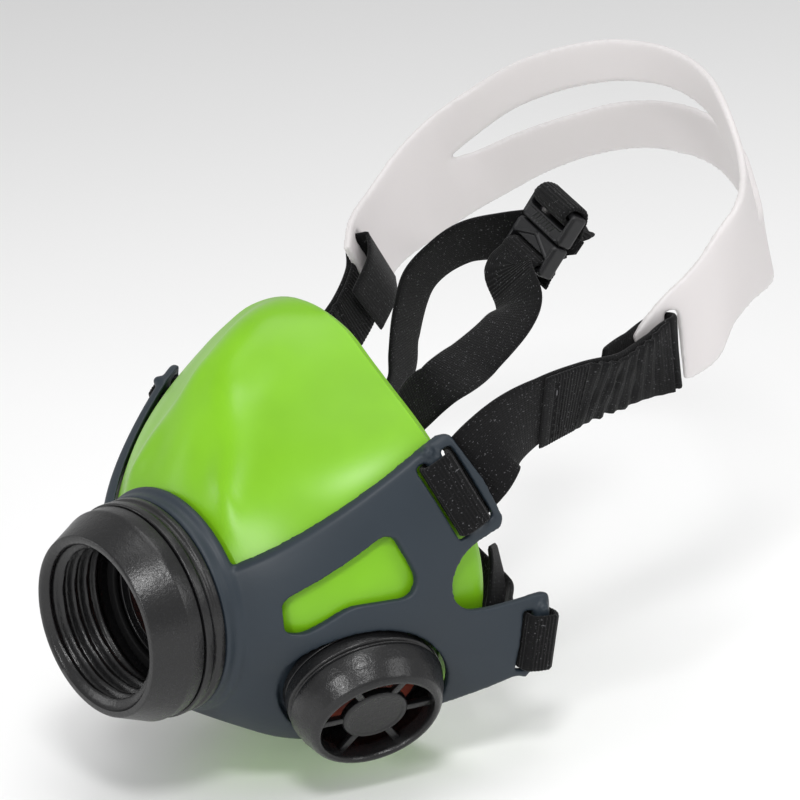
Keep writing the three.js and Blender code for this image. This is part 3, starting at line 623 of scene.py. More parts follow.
def on_wing(y, z):
    """The point of the left wing's middle surface with this y and z."""
    x = 50.0
    for _ in range(12):
        angle = math.degrees(math.atan2(x, z))
        low, high = 0.0, 1.0
        for _ in range(24):
            s = (low + high) / 2
            if wall_at(WING_KEYS, angle, s)[0][1] < y:
                low = s
            else:
                high = s
        point, normal = wall_at(WING_KEYS, angle, low)
        r = point[0] + normal[0] * (YOKE_CLEAR + YOKE_WALL / 2)
        x = math.sqrt(max(r * r - z * z, 1))
    return vec(x, y, z)


class Place:
    """A small frame: along a bar, back across it, and out of the surface."""

    def __init__(self, at, bar, back):
        self.at, self.bar = vec(*at), unit(bar)
        self.out = unit(np.cross(self.bar, unit(back)))
        self.back = np.cross(self.out, self.bar)

    def point(self, along, rear, outward):
        return self.at + self.bar * along + self.back * rear + self.out * outward

    def mirror(self):
        flip = vec(-1, 1, 1)
        twin = Place(self.at * flip, self.bar * flip, self.back * flip)
        twin.out, twin.back = self.out * flip, self.back * flip
        return twin


def tab_place(middle, bar):
    (y, z), (by, bz) = middle, bar
    return Place(on_wing(y, z), unit(on_wing(y + by, z + bz) - on_wing(y - by, z - bz)),
                 unit(on_wing(y + 2.5, z) - on_wing(y - 2.5, z)))


UPPER_TAB = tab_place((-14.4, 25), (3, -7.8))
LOWER_TAB = tab_place((4.6, -17.6), (-0.8, -7.8))
BAR_HALF, SLOT_WIDE, PEG_R = 2.2, 3.0, 1.6

# ---- Valves -------------------------------------------------------------------------------
# The left valve. Heights named _W run along its axis from the cover's front.
VALVE_WAY = [0.783, -0.318, -0.534]
VALVE_CENTRE, VALVE_AXIS = vec(47, -37.5, -28.7), unit(VALVE_WAY)
VALVE_LENGTH = float(np.linalg.norm(VALVE_WAY))
VALVE_SPOKES, FLAP_THICK, FLAP_LIFT, NUT_THICK = 6, 0.8, 1.5, 1.8
COVER_R, COVER_OPENING_R, COVER_HUB_R = 19.6, 14.3, 8.4
BASE_W, BASE_FLANGE, FLAP_SEAT_W, BASE_TUBE_W, NUT_W = -13.8, 2.0, -11.5, -24.0, -21.6
VALVE_BORE_R, VALVE_TUBE_R, PIN_R = 12.6, 15.0, 1.5
HUB_R, PIN_HEAD_R = 2.6, PIN_R + 1.3
CUT_LOW, CUT_HIGH, CRISP = -40, 30, 0.01        # how far a cutter reaches, and its edge
BOSS_R = COVER_R + 0.8
YOKE_SEAT_W = BASE_W - BASE_FLANGE - GAP
FACE_SEAT_W = YOKE_SEAT_W - YOKE_WALL - GAP
FRONT = vec(0, -1, 0)


def with_valve_seats(body, radius, seat, wall, trim=None):
    """Opens both valve holes and lays a flat seat round each."""
    boss = tube(VALVE_TUBE_R + GAP, radius, seat - wall, seat, VALVE_CENTRE, VALVE_AXIS, 0.2)
    if trim:
        combined(boss, "DIFFERENCE", trim)
    cutters = [puck(radius, seat, CUT_HIGH, VALVE_CENTRE, VALVE_AXIS, CRISP),
               puck(VALVE_TUBE_R + GAP, CUT_LOW, CUT_HIGH, VALVE_CENTRE, VALVE_AXIS, CRISP)]
    combined(body, "DIFFERENCE", *[mirrored(t, "cut") for t in cutters], *cutters)
    return combined(body, "UNION", mirrored(boss, "boss"), boss)


def wing_shell(inner, outer):
    """The left wing's wall before its outline is cut, between two heights off the facepiece."""
    def profile(angle):
        wall = [wall_at(WING_KEYS, angle, s) for s in np.linspace(0, 1, 31)]
        return [p + n * outer for p, n in wall] + [p + n * inner for p, n in wall][::-1]
    return loft_round(profile, np.linspace(36, 189, 103), False)


def seat_spokes(at, axis, rim, count):
    """The hub, pin and spokes that hold a valve's flap."""
    up, head = unit(axis), FLAP_THICK + 2 * GAP + FLAP_LIFT
    pin = filleted([[0, -1.6], [HUB_R, -1.6], [HUB_R, -0.1], [PIN_R, -0.1], [PIN_R, head],
                    [PIN_HEAD_R, head], [PIN_HEAD_R, head + 0.8], [0, head + 0.8]], 0.3,
                   closed=False)
    parts = [lathe(pin, at, axis, 48, closed=False)]
    for along in spread(axis, count):
        parts.append(block(at + along * (rim + 1) / 2 - up * 0.8, along, np.cross(up, along), up,
                           [rim + 1, 1.6, 1.2], 0.3))
    return parts


# ---- Webbing ------------------------------------------------------------------------------
UPPER_WRAP = [[1.2, -2.2], [-1.4, -2.2], [-3.2, -1.6], [-3.75, 0], [-3, 1.9], [-1.2, 2.3],
              [1.2, 2.3], [3, 1.9], [3.75, 0], [4.2, -1.6], [6.4, -2.8]]
LOWER_WRAP = [[-10, -6.4], [-6.6, -4.6], [-4.4, -2.6], [-3.75, 0], [-3, 1.9], [-1.2, 2.3],
              [1.2, 2.3], [3, 1.9], [3.75, 0], [3, -2.2], [0.6, -4.4], [-4, -7.4]]
# Stops of each strap after its tab: a point, and the way that the width runs.
UPPER_LEFT_ROUTE = [
    [[57.6, -1, 35.4], [0, 0.4, -0.9]], [[58.5, 11, 39], [-0.25, 0.45, -0.85]],
    [[59, 24, 40], [-0.34, 0.42, -0.84]], [[59.5, 36.5, 40], [-0.4, 0.5, -0.75]],
    [[60.4, 48, 41.6], [-0.3, 0.4, -0.85]], [[61.8, 54, 42.8], [-0.15, 0.2, -0.95]],
    [[62.7, 56.9, 43.2], [-0.08, 0.1, -1]], [[60.8, 58.1, 43.2], [-0.05, 0.1, -1]],
    [[58, 57.5, 43], [-0.08, 0.1, -1]], [[55.4, 54, 42.4], [-0.15, 0.2, -0.95]],
    [[54.4, 46, 41], [-0.3, 0.4, -0.85]], [[55.4, 36, 39.6], [-0.35, 0.45, -0.8]],
]
UPPER_RIGHT_ROUTE = [
    [[-56.5, 4, 25], [0, 0.3, -0.95]], [[-56.5, 22, 25], [0, 0.45, -0.9]],
    [[-57, 38, 27], [-0.2, 0.6, -0.75]], [[-58, 50, 32.5], [-0.2, 0.65, -0.7]],
    [[-60.2, 60, 41], [-0.18, 0.6, -0.75]], [[-64.1, 64.1, 46.4], [-0.18, 0.59, -0.78]],
    [[-65.2, 66, 47.9], [-0.18, 0.59, -0.78]], [[-63.2, 67.3, 48.7], [-0.18, 0.59, -0.78]],
    [[-61, 68.7, 48.9], [-0.18, 0.59, -0.78]], [[-58.8, 67.5, 47.6], [-0.18, 0.59, -0.78]],
    [[-55.4, 64, 44], [-0.18, 0.6, -0.75]], [[-53.6, 56, 36.6], [-0.2, 0.65, -0.7]],
]
NECK_LEFT_ROUTE = [
    [[42, 9, -13], [-0.6, -0.1, -0.75]], [[30, 11, -8], [-0.4, -0.1, -0.9]],
    [[20, 12, -2], [-0.5, 0, -0.86]], [[11, 13, 5], [-0.6, 0, -0.8]],
    [[6, 14, 14], [-0.85, 0.1, -0.4]], [[5, 14.5, 22], [-0.97, 0.2, -0.1]],
    [[8.5, 15.5, 30], [-0.93, 0.2, 0.3]], [[16, 17.6, 36.4], [-0.88, 0.21, 0.43]],
    [[13, 34, 39.6], [-0.89, 0.25, 0.39]], [[11, 48, 44.6], [-0.94, 0.23, 0.25]],
    [[8.6, 55, 48.3], [-0.98, 0.2, 0.1]],
]
NECK_RIGHT_ROUTE = [
    [[-46, 9, -13], [0, 0.25, -0.95]], [[-45, 24, -5], [-0.15, 0.6, -0.75]],
    [[-41, 38, 5], [-0.3, 0.85, -0.4]], [[-35, 50, 21.7], [-0.34, 0.9, -0.25]],
    [[-32.3, 50, 31.6], [-0.34, 0.89, -0.3]], [[-28, 50, 44], [-0.26, 0.89, -0.38]],
    [[-25.5, 52, 51.2], [-0.15, 0.87, -0.47]], [[-21.5, 56, 56.4], [-0.14, 0.78, -0.61]],
    [[-17, 62, 60], [-0.14, 0.6, -0.8]], [[-11, 70, 60.6], [-0.25, 0.2, -0.9]],
    [[-3.4, 77.4, 60.2], [-0.4, -0.4, -0.82]], [[4.4, 79, 62.6], [-0.93, -0.13, -0.34]],
]
BUCKLE = Place([4.5, 70.5, 63.5], [-0.918, 0.216, 0.335], [-0.397, -0.41, -0.822])
BUCKLE_WIDE, BUCKLE_HALF, BUCKLE_THICK, BUCKLE_SLOT, BUCKLE_SLOT_AT = 18.6, 9.3, 5.0, 3.6, 6.2
SOCKET_WRAP = [[12, 4.8], [9.6, 3.8], [7.6, 3.8], [6.2, 2.2], [6.2, -2.2], [7.6, -3.8],
               [9.6, -3.8], [12.6, -4.3]]
HOOK_WRAP = [[-5, -4.8], [-8.6, -3.8], [-10.5, -2.4], [-11, 0], [-10.5, 2.4], [-8.6, 3.8],
             [-7.4, 3.8], [-6.2, 2.2], [-6.2, -1.4]]
# The near neck strap's loose end, beyond its tab.
NECK_TAIL_ROUTE = [
    [[42.6, 8, 2.4], [0.6, -0.75, 0.2]], [[43.6, 7.6, -1], [0.55, -0.78, 0.1]],
    [[45, 6.6, -6], [0.4, -0.8, -0.2]], [[47.5, 4.5, -13], [0.2, -0.5, -0.7]],
]
LONG_STEP, FINE_STEP = 0.8, 0.24        # rows of a strap, plain and where its ribs show
UPPER_RIBS, LOWER_RIBS = (0, 24), (0, 32)        # stretches at the tabs where ribs show
WEB_ROOM = 1.2        # how much longer a slot is than its webbing is wide


def round_bar(tab, wrap):
    """A wrap's stops round a tab's bar."""
    return [[tab.point(0, rear, out), tab.bar] for rear, out in wrap]


def through_buckle(wrap):
    """A wrap's stops through a slot of the buckle."""
    return [[BUCKLE.point(0, down, out), BUCKLE.bar] for down, out in wrap]


class Strip:
    """A strap's centre line, cut into rows with a frame at each."""

    def __init__(self, route):
        line, width = Curve([p for p, _ in route]), Curve([w for _, w in route])
        ts = np.linspace(0, 1, 60 * len(route))
        points = np.array([line.at(t) for t in ts])
        widths = np.array([width.at(t) for t in ts])
        run = np.concatenate([[0], np.cumsum(np.linalg.norm(np.diff(points, axis=0), axis=1))])
        self.run, self.points, self.widths = run, points, widths
        self.total = float(run[-1])

    def frame(self, s):
        def pick(values, where):
            return np.array([np.interp(where, self.run, values[:, i]) for i in range(3)])
        ahead, behind = min(s + 0.4, self.total), max(s - 0.4, 0)
        tangent = unit(pick(self.points, ahead) - pick(self.points, behind))
        side = pick(self.widths, s)
        side = unit(side - tangent * side.dot(tangent))
        return pick(self.points, s), side, np.cross(tangent, side)


def ribbed_rows(total, spans):
    """Row positions along a strap, close together where ribs are modelled."""
    rows, s = [0.0], 0.0
    while s < total:
        fine = any(a <= s <= b for a, b in spans)
        s = min(total, s + (FINE_STEP if fine else LONG_STEP))
        rows.append(s)
    return rows


def web_mesh(route, web, spans=(), start=0.0, stop=None, lift=0.0, ruck=(), pinch=()):
    """Points, faces and weave coordinates of a strap: rounded edges, ribs and gathers.

    `spans` are where ribs are modelled, `lift` sets it out from the line, and each `ruck` is
    (place, length, height) of a gather, each `pinch` (place, length, share) of a narrowing.
    """
    z, strip = sizes(), Strip(route)
    stop = stop if stop is not None else strip.total
    half, thick = web / 2, z.web_thick / 2
    across = np.linspace(-1, 1, 9)[1:-1]
    edge = [(math.cos(a), math.sin(a)) for a in np.linspace(-math.pi / 2, math.pi / 2, 5)]
    section = [(half - thick + c * thick, s) for c, s in edge]
    section += [(-(half - thick) * a, 1.0) for a in across]
    section += [(-(half - thick) - c * thick, -s) for c, s in edge]
    section += [((half - thick) * a, -1.0) for a in across]
    points, weave = [], []
    rows = [s for s in ribbed_rows(strip.total, spans) if start <= s <= stop]
    for s in rows:
        at, side, out = strip.frame(s)
        ribs = any(a <= s <= b for a, b in spans)
        swell = z.rib_height * math.sin(2 * math.pi * s / z.rib_pitch) if ribs else 0
        gather = sum(h * math.exp(-((s - p) / w) ** 2) * math.sin(5.2 * (s - p) / w)
                     for p, w, h in ruck)
        narrow = 1 - sum(share * math.exp(-((s - p) / w) ** 2) for p, w, share in pinch)
        end = min(1.0, (s - start) / 0.7 + 0.45, (stop - s) / 0.7 + 0.45)
        for v, level in section:
            wave = gather * (0.6 + 0.4 * math.cos(v * 0.5 + s * 0.3))
            height = level * (thick + swell) * end + lift + wave
            points.append(at + side * v * narrow + out * height)
            weave.append((s, v, level))
    n = len(section)
    faces = skin(len(rows), n, False)
    last = (len(rows) - 1) * n
    faces += [tuple(range(n)), tuple(range(last + n - 1, last - 1, -1))]
    return points, faces, weave


def web_piece(name, meshes, *nodes):
    """One strap from its layers, with the weave's own coordinates kept on its points."""
    points, faces, weave = [], [], []
    for p, f, w in meshes:
        faces += [tuple(i + len(points) for i in face) for face in f]
        points += p
        weave += w
    mesh = bpy.data.meshes.new(name)
    mesh.from_pydata([tuple(p * MM) for p in points], [], faces)
    attribute = mesh.attributes.new("weave", "FLOAT_VECTOR", "POINT")
    attribute.data.foreach_set("vector", np.array(weave, np.float32).ravel())
    reworked(mesh, faced_out)
    return shown(linked(name, mesh), name, None, "webbing", *nodes, sharp=60)


def stitches(route, places, web, lift):
    """Rows of thread across a strap at each place along it."""
    strip, out = Strip(route), []
    for s in places:
        at, side, up = strip.frame(s)
        along = np.cross(side, up)
        count = int(web // 2.2)
        for i in range(count):
            v = (i - (count - 1) / 2) * 2.1
            centre = at + side * v + up * lift
            ring = []
            for a in (-0.75, -0.45, 0.45, 0.75):
                w = 0.12 if abs(a) > 0.6 else 0.24
                ring += [centre + side * a + along * w * c + up * w * d
                         for c, d in ((1, 0), (0, 1), (-1, 0), (0, -1))]
            faces = [(0, 1, 2, 3), (15, 14, 13, 12)]
            faces += [(r * 4 + k, r * 4 + (k + 1) % 4, r * 4 + 4 + (k + 1) % 4, r * 4 + 4 + k)
                      for r in range(3) for k in range(4)]
            out.append((ring, faces, [(s, v, 0.0)] * 16))
    return out


# ---- Cradle -------------------------------------------------------------------------------
# Right end to left end: top edge, the gap's two edges (None where there is no gap), bottom edge.
CRADLE_STATIONS = [
    [[-57, 53, 55], None, [-58, 63, 38]], [[-63, 61, 61], None, [-65, 73, 38]],
    [[-68, 73, 66], None, [-69, 84, 42]], [[-69, 86, 75], None, [-67, 96, 47]],
    [[-65, 96, 83], [[-64, 99, 69]], [-61, 106, 53]],
    [[-57, 104, 90], [[-57, 105, 76], [-60, 108, 71]], [-54, 114, 58]],
    [[-46, 110.5, 97], [[-46, 111, 84], [-50, 116, 76]], [-44, 121, 64]],
    [[-32, 115.5, 102], [[-32, 116, 89.5], [-36, 122.5, 81]], [-31, 126, 69]],
    [[-16, 119, 105], [[-16, 119, 93], [-19, 127.5, 85.5]], [-16, 130, 72]],
    [[0, 119, 105.4], [[0, 119.5, 94], [0, 129, 86.5]], [0, 131, 72]],
    [[15, 116, 104], [[15, 116.5, 93], [16, 127, 84]], [14, 129, 70]],
    [[29, 110, 101], [[30, 110.5, 89.5], [30, 120.5, 79]], [28, 123, 65]],
    [[42, 102, 95.5], [[42, 102.5, 85], [42, 111, 74]], [40, 114.5, 60]],
    [[53, 94.5, 87], [[53, 95.5, 78], [53, 101, 69]], [51, 105, 55]],
    [[61, 86, 81], [[61.5, 90, 68]], [61, 95, 52]],
    [[66, 78, 77], None, [65, 81.5, 50]], [[66.5, 70, 72], None, [66.2, 73.5, 46]],
    [[64, 63, 64], None, [66, 68, 39]], [[60, 55, 57], None, [62, 61, 35]],
    [[57, 47, 49], None, [58, 55, 35]],
]
CRADLE_THICK = 2.0
CRADLE_SLOTS = [
    ([-63.2, 67.2, 48.4], [-0.18, 0.59, -0.78], [-0.81, -0.52, -0.2]),
    ([60.8, 58, 43.2], [-0.05, 0.1, -1], [0.9, -0.43, 0]),
]


def cradle_sheet():
    """The cradle's two bands as one thick sheet."""
    def middle(s):
        return (vec(*s[0]) + vec(*s[2])) / 2
    rails = [Curve([s[0] for s in CRADLE_STATIONS]),
             Curve([s[1][0] if s[1] else middle(s) for s in CRADLE_STATIONS]),
             Curve([s[1][-1] if s[1] else middle(s) for s in CRADLE_STATIONS]),
             Curve([s[2] for s in CRADLE_STATIONS])]
    opened = [i for i, s in enumerate(CRADLE_STATIONS) if s[1] and len(s[1]) == 2]
    first, last = opened[0] - 1, opened[-1] + 1
    spans, per, cross = len(CRADLE_STATIONS) - 1, 8, 6
    points, lookup, quads, rows = [], {}, [], []

    def index(p):
        key = tuple(np.round(p, 4))
        if key not in lookup:
            lookup[key] = len(points)
            points.append(p)
        return lookup[key]

    for i in range(spans * per + 1):
        t = i / per
        top, upper, lower, bottom = (r.at(t / spans) for r in rails)
        if t <= first or t >= last:
            lower = upper
        rows.append([[index(a + (b - a) * k / cross) for k in range(cross + 1)]
                     for a, b in ((top, upper), (lower, bottom))])
    for before, after in zip(rows, rows[1:]):
        for one, two in zip(before, after):
            quads += [(one[k], one[k + 1], two[k + 1], two[k]) for k in range(cross)]
    normals = np.zeros((len(points), 3))
    at = np.array(points)
    for a, b, c, d in quads:
        n = np.cross(at[c] - at[a], at[d] - at[b])
        for k in (a, b, c, d):
            normals[k] += n
    normals /= np.linalg.norm(normals, axis=1)[:, None]
    count, rim = len(points), {}
    for q in quads:
        for a, b in zip(q, q[1:] + q[:1]):
            if (b, a) in rim:
                del rim[(b, a)]
            else:
                rim[(a, b)] = True
    faces = list(quads) + [tuple(count + k for k in q[::-1]) for q in quads]
    faces += [(b, a, count + a, count + b) for a, b in rim]
    both = [*(at + normals * CRADLE_THICK / 2), *(at - normals * CRADLE_THICK / 2)]
    return solid("cradle", both, faces)


# ---- Operators ----------------------------------------------------------------------------
class MASK_OT_facepiece(bpy.types.Operator):
    """Soft silicone facepiece with its nose panel, face seal and valve seats"""

    bl_idname = "mask.facepiece"
    bl_label = "Facepiece"
    bl_options = {"REGISTER", "UNDO"}

    def execute(self, context):
        shell = loft_round(facepiece_profile, np.arange(0, 360, 2.25), True)
        trim = wing_shell(YOKE_CLEAR - GAP, YOKE_CLEAR + 12)
        body = with_valve_seats(shell, BOSS_R + 2 * GAP, FACE_SEAT_W, FACE_WALL, trim)
        shown(body, "facepiece_skin", "mask", "green_silicone", "facepiece", sharp=50)
        return {"FINISHED"}


class MASK_OT_yoke(bpy.types.Operator):
    """Rigid yoke: front ring, two wings with windows, webbing bars and pegs"""

    bl_idname = "mask.yoke"
    bl_label = "Yoke"
    bl_options = {"REGISTER", "UNDO"}

    def execute(self, context):
        z = sizes()
        wing = combined(wing_shell(YOKE_CLEAR, YOKE_CLEAR + YOKE_WALL), "INTERSECT",
                        side_prism(WING_OUTLINE, -4, 90, 3.4))
        cuts = [side_prism(WING_WINDOW, 20, 90, 2.6)]
        for tab, web, sides in ((UPPER_TAB, z.upper_web, (-1, 1)), (LOWER_TAB, z.neck_web, (-1,))):
            cuts += [block(tab.point(0, s * (BAR_HALF + SLOT_WIDE / 2), 0), tab.bar, tab.back,
                           tab.out, [web + WEB_ROOM, SLOT_WIDE, 14]) for s in sides]
        combined(wing, "DIFFERENCE", *cuts)
        pegs, rails = [], []
        for tab, web in ((UPPER_TAB, z.upper_web), (LOWER_TAB, z.neck_web)):
            _, y, zz = tab.point(-web / 2 - PEG_R - GAP, 0, 0)
            dome = [[0, -0.6], [PEG_R, -0.6], [PEG_R, 1.8], [PEG_R * 0.8, 2.8],
                    [PEG_R * 0.4, 3.3], [0, 3.4]]
            pegs.append(lathe(filleted(dome, 0.3, closed=False), on_wing(y, zz), tab.out, 32,
                              closed=False))
            rails.append(block(tab.point(0, 0, 0.9), tab.bar, tab.back, tab.out,
                               [web + 1.6, BAR_HALF * 1.5, 1.2], 0.4))
        combined(wing, "UNION", *pegs, *rails)
        back = RING_Y - 0.8
        plate = [[NECK_R + GAP, -back], [28.4, -back], [28.4, YOKE_WALL - back],
                 [27.4, YOKE_WALL - back], [27.4, 65.2], [NECK_R + GAP, 65.2]]
        body = lathe(filleted(plate, 0.5), (0, 0, 0), FRONT, 128)
        body = combined(body, "UNION", mirrored(wing, "wing"), wing)
        body = with_valve_seats(body, BOSS_R, YOKE_SEAT_W, YOKE_WALL)
        combined(body, "DIFFERENCE", puck(NECK_R + GAP, 40, 90, (0, 0, 0), FRONT, CRISP))
        rounded_off(body, voxel=0.38, rounds=30)
        shown(body, "yoke_shell", "mask", "slate_plastic", "yoke", sharp=75)
        return {"FINISHED"}


class MASK_OT_port(bpy.types.Operator):
    """Filter connector with its helical round thread, clamp collar, nut and gasket"""

    bl_idname = "mask.port"
    bl_label = "Filter port"
    bl_options = {"REGISTER", "UNDO"}

    def thread_profile(self, turn):
        """The port's section at a share of a turn, its thread moved along by that share."""
        z = sizes()
        out = [vec(MOUTH_R - MOUTH_LIP, MOUTH_Y)]
        out += filleted([[MOUTH_R - MOUTH_LIP, MOUTH_Y], [MOUTH_R, MOUTH_Y], [26.1, -76.6],
                         [FLARE_R, -75.4], [FLARE_R, -71.6], [WAIST_R, -71.6], [WAIST_R, -65.5],
                         [NECK_R, -65.5], [NECK_R, PORT_BACK_Y], [THREAD_R, PORT_BACK_Y],
                         [THREAD_R, -61.2], [SHELF_R, -61.2], [SHELF_R, SHELF_Y],
                         [THREAD_R, SHELF_Y]], 0.4, closed=False, rounds=3)[1:]
        for y in np.linspace(SHELF_Y - 1, MOUTH_Y + 0.4, 76):
            fade = np.clip((THREAD_END_Y - y) / 3, 0, 1) * np.clip((y - MOUTH_Y) / 2.2, 0, 1)
            wave = 0.5 + 0.5 * math.cos(2 * math.pi * ((y - MOUTH_Y) / z.thread_pitch + turn))
            open_mouth = 0.9 * np.clip((MOUTH_Y + 1.6 - y) / 1.6, 0, 1)
            out.append(vec(THREAD_R - z.thread_depth * fade * wave ** 1.5 + open_mouth, y))
        return out

    def execute(self, context):
        body = loft_round(lambda a: self.thread_profile(a / 360), np.arange(0, 360, 2.5), True)
        shown(body, "connector_body", "mask", "black_plastic", "filter_connector", sharp=50)
        collar = [[24.1, 65.5], [27.2, 65.5], [27.2, 67.1], [26.6, 67.6], [26.6, 68.6],
                  [27.2, 69.1], [27.2, 71.3], [24.1, 71.3]]
        shown(lathe(filleted(collar, 0.45), (0, 0, 0), FRONT, 128), "collar_ring", "mask",
              "black_plastic", "clamp_collar", sharp=50)
        nut = tube(NECK_R + GAP, 24.6, 53.3, 55.3, (0, 0, 0), FRONT, 0.4, 128)
        notches = [block(polar(a, 25.2, -54.3), polar(a, 1, 0), polar(a + 90, 1, 0), FRONT,
                         [2.6, 3.4, 4]) for a in range(15, 375, 45)]
        shown(combined(nut, "DIFFERENCE", *notches), "lock_nut", "mask", "black_plastic",
              "port_lock_nut")
        shown(tube(17, 20, 63.5, 65.2, (0, 0, 0), FRONT, 0.7, 128), "gasket_ring", "mask",
              "black_rubber", "filter_gasket", sharp=60)
        return {"FINISHED"}


class MASK_OT_inhalation(bpy.types.Operator):
    """Inhalation valve: spoked seat and thin flap behind the filter port"""

    bl_idname = "mask.inhalation"
    bl_label = "Inhalation valve"
    bl_options = {"REGISTER", "UNDO"}

    def execute(self, context):
        inward, bore, top = vec(0, 1, 0), 13.6, -59.2
        seat = [[bore, top], [20.1, top], [20.1, -60.9], [16.3, -60.9], [16.3, SHELF_Y],
                [bore, SHELF_Y]]
        body = lathe(filleted(seat, 0.3), (0, 0, 0), inward, 96)
        combined(body, "UNION", *seat_spokes(vec(0, top, 0), inward, bore, 4))
        shown(body, "inhalation_seat", "mask", "black_plastic", "inhalation_valve_seat")
        flap = tube(PIN_R + GAP, 15.2, GAP, GAP + FLAP_THICK, (0, top, 0), inward, 0.25)
        shown(flap, "inhalation_disc", "inhalation_flap", "flap_silicone", "inhalation_flap",
              sharp=60)
        return {"FINISHED"}


class MASK_OT_exhalation(bpy.types.Operator):
    """Both exhalation valves: base, nut, flap and the domed cover with its spoked vent"""

    bl_idname = "mask.exhalation"
    bl_label = "Exhalation valves"
    bl_options = {"REGISTER", "UNDO"}

    def pair(self, piece, name, body, slot, node, sharp=40):
        """Shows a left piece and its mirror."""
        twin = mirrored(piece, name + "_right")
        bodies = (body, body) if body == "mask" else (body + "_left", body + "_right")
        shown(piece, name + "_left", bodies[0], slot, node + "_left", sharp=sharp)
        shown(twin, name + "_right", bodies[1], slot, node + "_right", sharp=sharp)

    def execute(self, context):
        seat_at = VALVE_CENTRE + VALVE_AXIS * VALVE_LENGTH * FLAP_SEAT_W
        rim, step, under = COVER_R - 0.4, COVER_R - 3.6, BASE_W - BASE_FLANGE
        profile = [[VALVE_BORE_R, FLAP_SEAT_W], [VALVE_BORE_R, BASE_TUBE_W],
                   [VALVE_TUBE_R, BASE_TUBE_W], [VALVE_TUBE_R, under], [rim, under],
                   [rim, BASE_W], [step, BASE_W], [step, FLAP_SEAT_W]]
        base = lathe(filleted(profile, 0.35), VALVE_CENTRE, VALVE_AXIS, 96)
        combined(base, "UNION", *seat_spokes(seat_at, VALVE_AXIS, VALVE_BORE_R, VALVE_SPOKES))
        self.pair(base, "valve_base", "mask", "black_plastic", "exhalation_valve_base")
        nut = tube(VALVE_TUBE_R + GAP, VALVE_TUBE_R + 3, NUT_W - NUT_THICK, NUT_W,
                   VALVE_CENTRE, VALVE_AXIS, 0.4)
        self.pair(nut, "valve_nut", "mask", "black_plastic", "exhalation_valve_nut", sharp=60)
        flap = tube(PIN_R + GAP, VALVE_BORE_R + 1, GAP, GAP + FLAP_THICK, seat_at, VALVE_AXIS,
                    0.25)
        self.pair(flap, "valve_disc", "exhalation_flap", "flap_silicone", "exhalation_flap",
                  sharp=60)
        self.pair(self.cover(), "valve_cover", "cover", "black_plastic", "exhalation_cover",
                  sharp=45)
        return {"FINISHED"}

    def cover(self):
        """The domed cover, with the hub and spokes of its vent."""
        r, up = COVER_R, VALVE_AXIS
        outside = [[COVER_OPENING_R + 0.4, 0], [COVER_OPENING_R, -0.9], [COVER_OPENING_R, -4.6],
                   [r - 3.2, -4.6], [r - 3.2, -13.5], [r - 0.1, -13.5], [r - 0.1, -10.3],
                   [r - 0.9, -9.9], [r - 0.9, -9.3], [r, -8.8], [r - 0.3, -7.4], [r - 1, -5],
                   [r - 2.9, -0.9], [r - 3.9, 0]]
        shell = lathe(filleted(outside, 0.5, rounds=5), VALVE_CENTRE, VALVE_AXIS, 128)
        hub = [[0, -4.3], [COVER_HUB_R, -4.3], [COVER_HUB_R, -2.6], [COVER_HUB_R - 0.5, -2.1],
               [COVER_HUB_R - 1.3, -2.1], [COVER_HUB_R - 1.7, -2.3], [0, -2.3]]
        parts = [lathe(filleted(hub, 0.3, closed=False), VALVE_CENTRE, up, 96, closed=False)]
        for along in spread(up, VALVE_SPOKES):
            at = VALVE_CENTRE + up * -3.3 + along * (COVER_OPENING_R - 2.8)
            parts.append(block(at, along, np.cross(up, along), up, [7.2, 1.9, 1.7], 0.35))
        return combined(shell, "UNION", *parts)


class MASK_OT_cradle(bpy.types.Operator):
    """Milky head cradle with two bands and a webbing slot at each end"""

    bl_idname = "mask.cradle"
    bl_label = "Head cradle"
    bl_options = {"REGISTER", "UNDO"}

    def execute(self, context):
        sheet = cradle_sheet()
        cuts = []
        for middle, along, through in CRADLE_SLOTS:
            across = np.cross(through, along)
            cuts.append(block(middle, along, across, through,
                              [sizes().upper_web + WEB_ROOM, 3.6, 12]))
        combined(sheet, "DIFFERENCE", *cuts)
        rounded_off(sheet, voxel=0.6, rounds=8)
        shown(sheet, "cradle_bands", "cradle", "clear_cradle", "head_cradle", sharp=75)
        return {"FINISHED"}


class MASK_OT_upper_straps(bpy.types.Operator):
    """Upper webbing straps, from the yoke's tabs through the cradle's slots"""

    bl_idname = "mask.upper_straps"
    bl_label = "Upper straps"
    bl_options = {"REGISTER", "UNDO"}

    def execute(self, context):
        web = sizes().upper_web
        left = round_bar(UPPER_TAB, UPPER_WRAP) + UPPER_LEFT_ROUTE
        fold = UPPER_LEFT_ROUTE[1:7]
        layers = [web_mesh(left, web, [UPPER_RIBS]),
                  web_mesh(fold, web + 0.4, [(3, 14)], start=0.8, stop=44.5, lift=-1.45,
                           ruck=[(1.6, 1.3, -0.5), (17, 3, 0.7), (24, 3.5, 0.9), (31, 3.5, 0.8),
                                 (38, 3, 0.5)],
                           pinch=[(23, 6, 0.1), (34, 5, 0.08)])]
        layers += stitches(fold, [4.2, 6.4, 13.2], web - 2, -2.2)
        piece = web_piece("upper_web_left", layers, "upper_strap_left")
        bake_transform(piece)
        right = round_bar(UPPER_TAB.mirror(), UPPER_WRAP) + UPPER_RIGHT_ROUTE
        over = UPPER_RIGHT_ROUTE[2:6]
        layers = [web_mesh(right, web, [UPPER_RIBS], ruck=[(70, 6, 0.3)]),
                  web_mesh(over, web - 0.6, [(0, 200)], start=4, lift=-1.35,
                           ruck=[(12, 4, 0.4)])]
        layers += stitches(over, [5.5, 7.5], web - 2, -2.1)
        piece = web_piece("upper_web_right", layers, "upper_strap_right")
        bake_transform(piece)
        return {"FINISHED"}


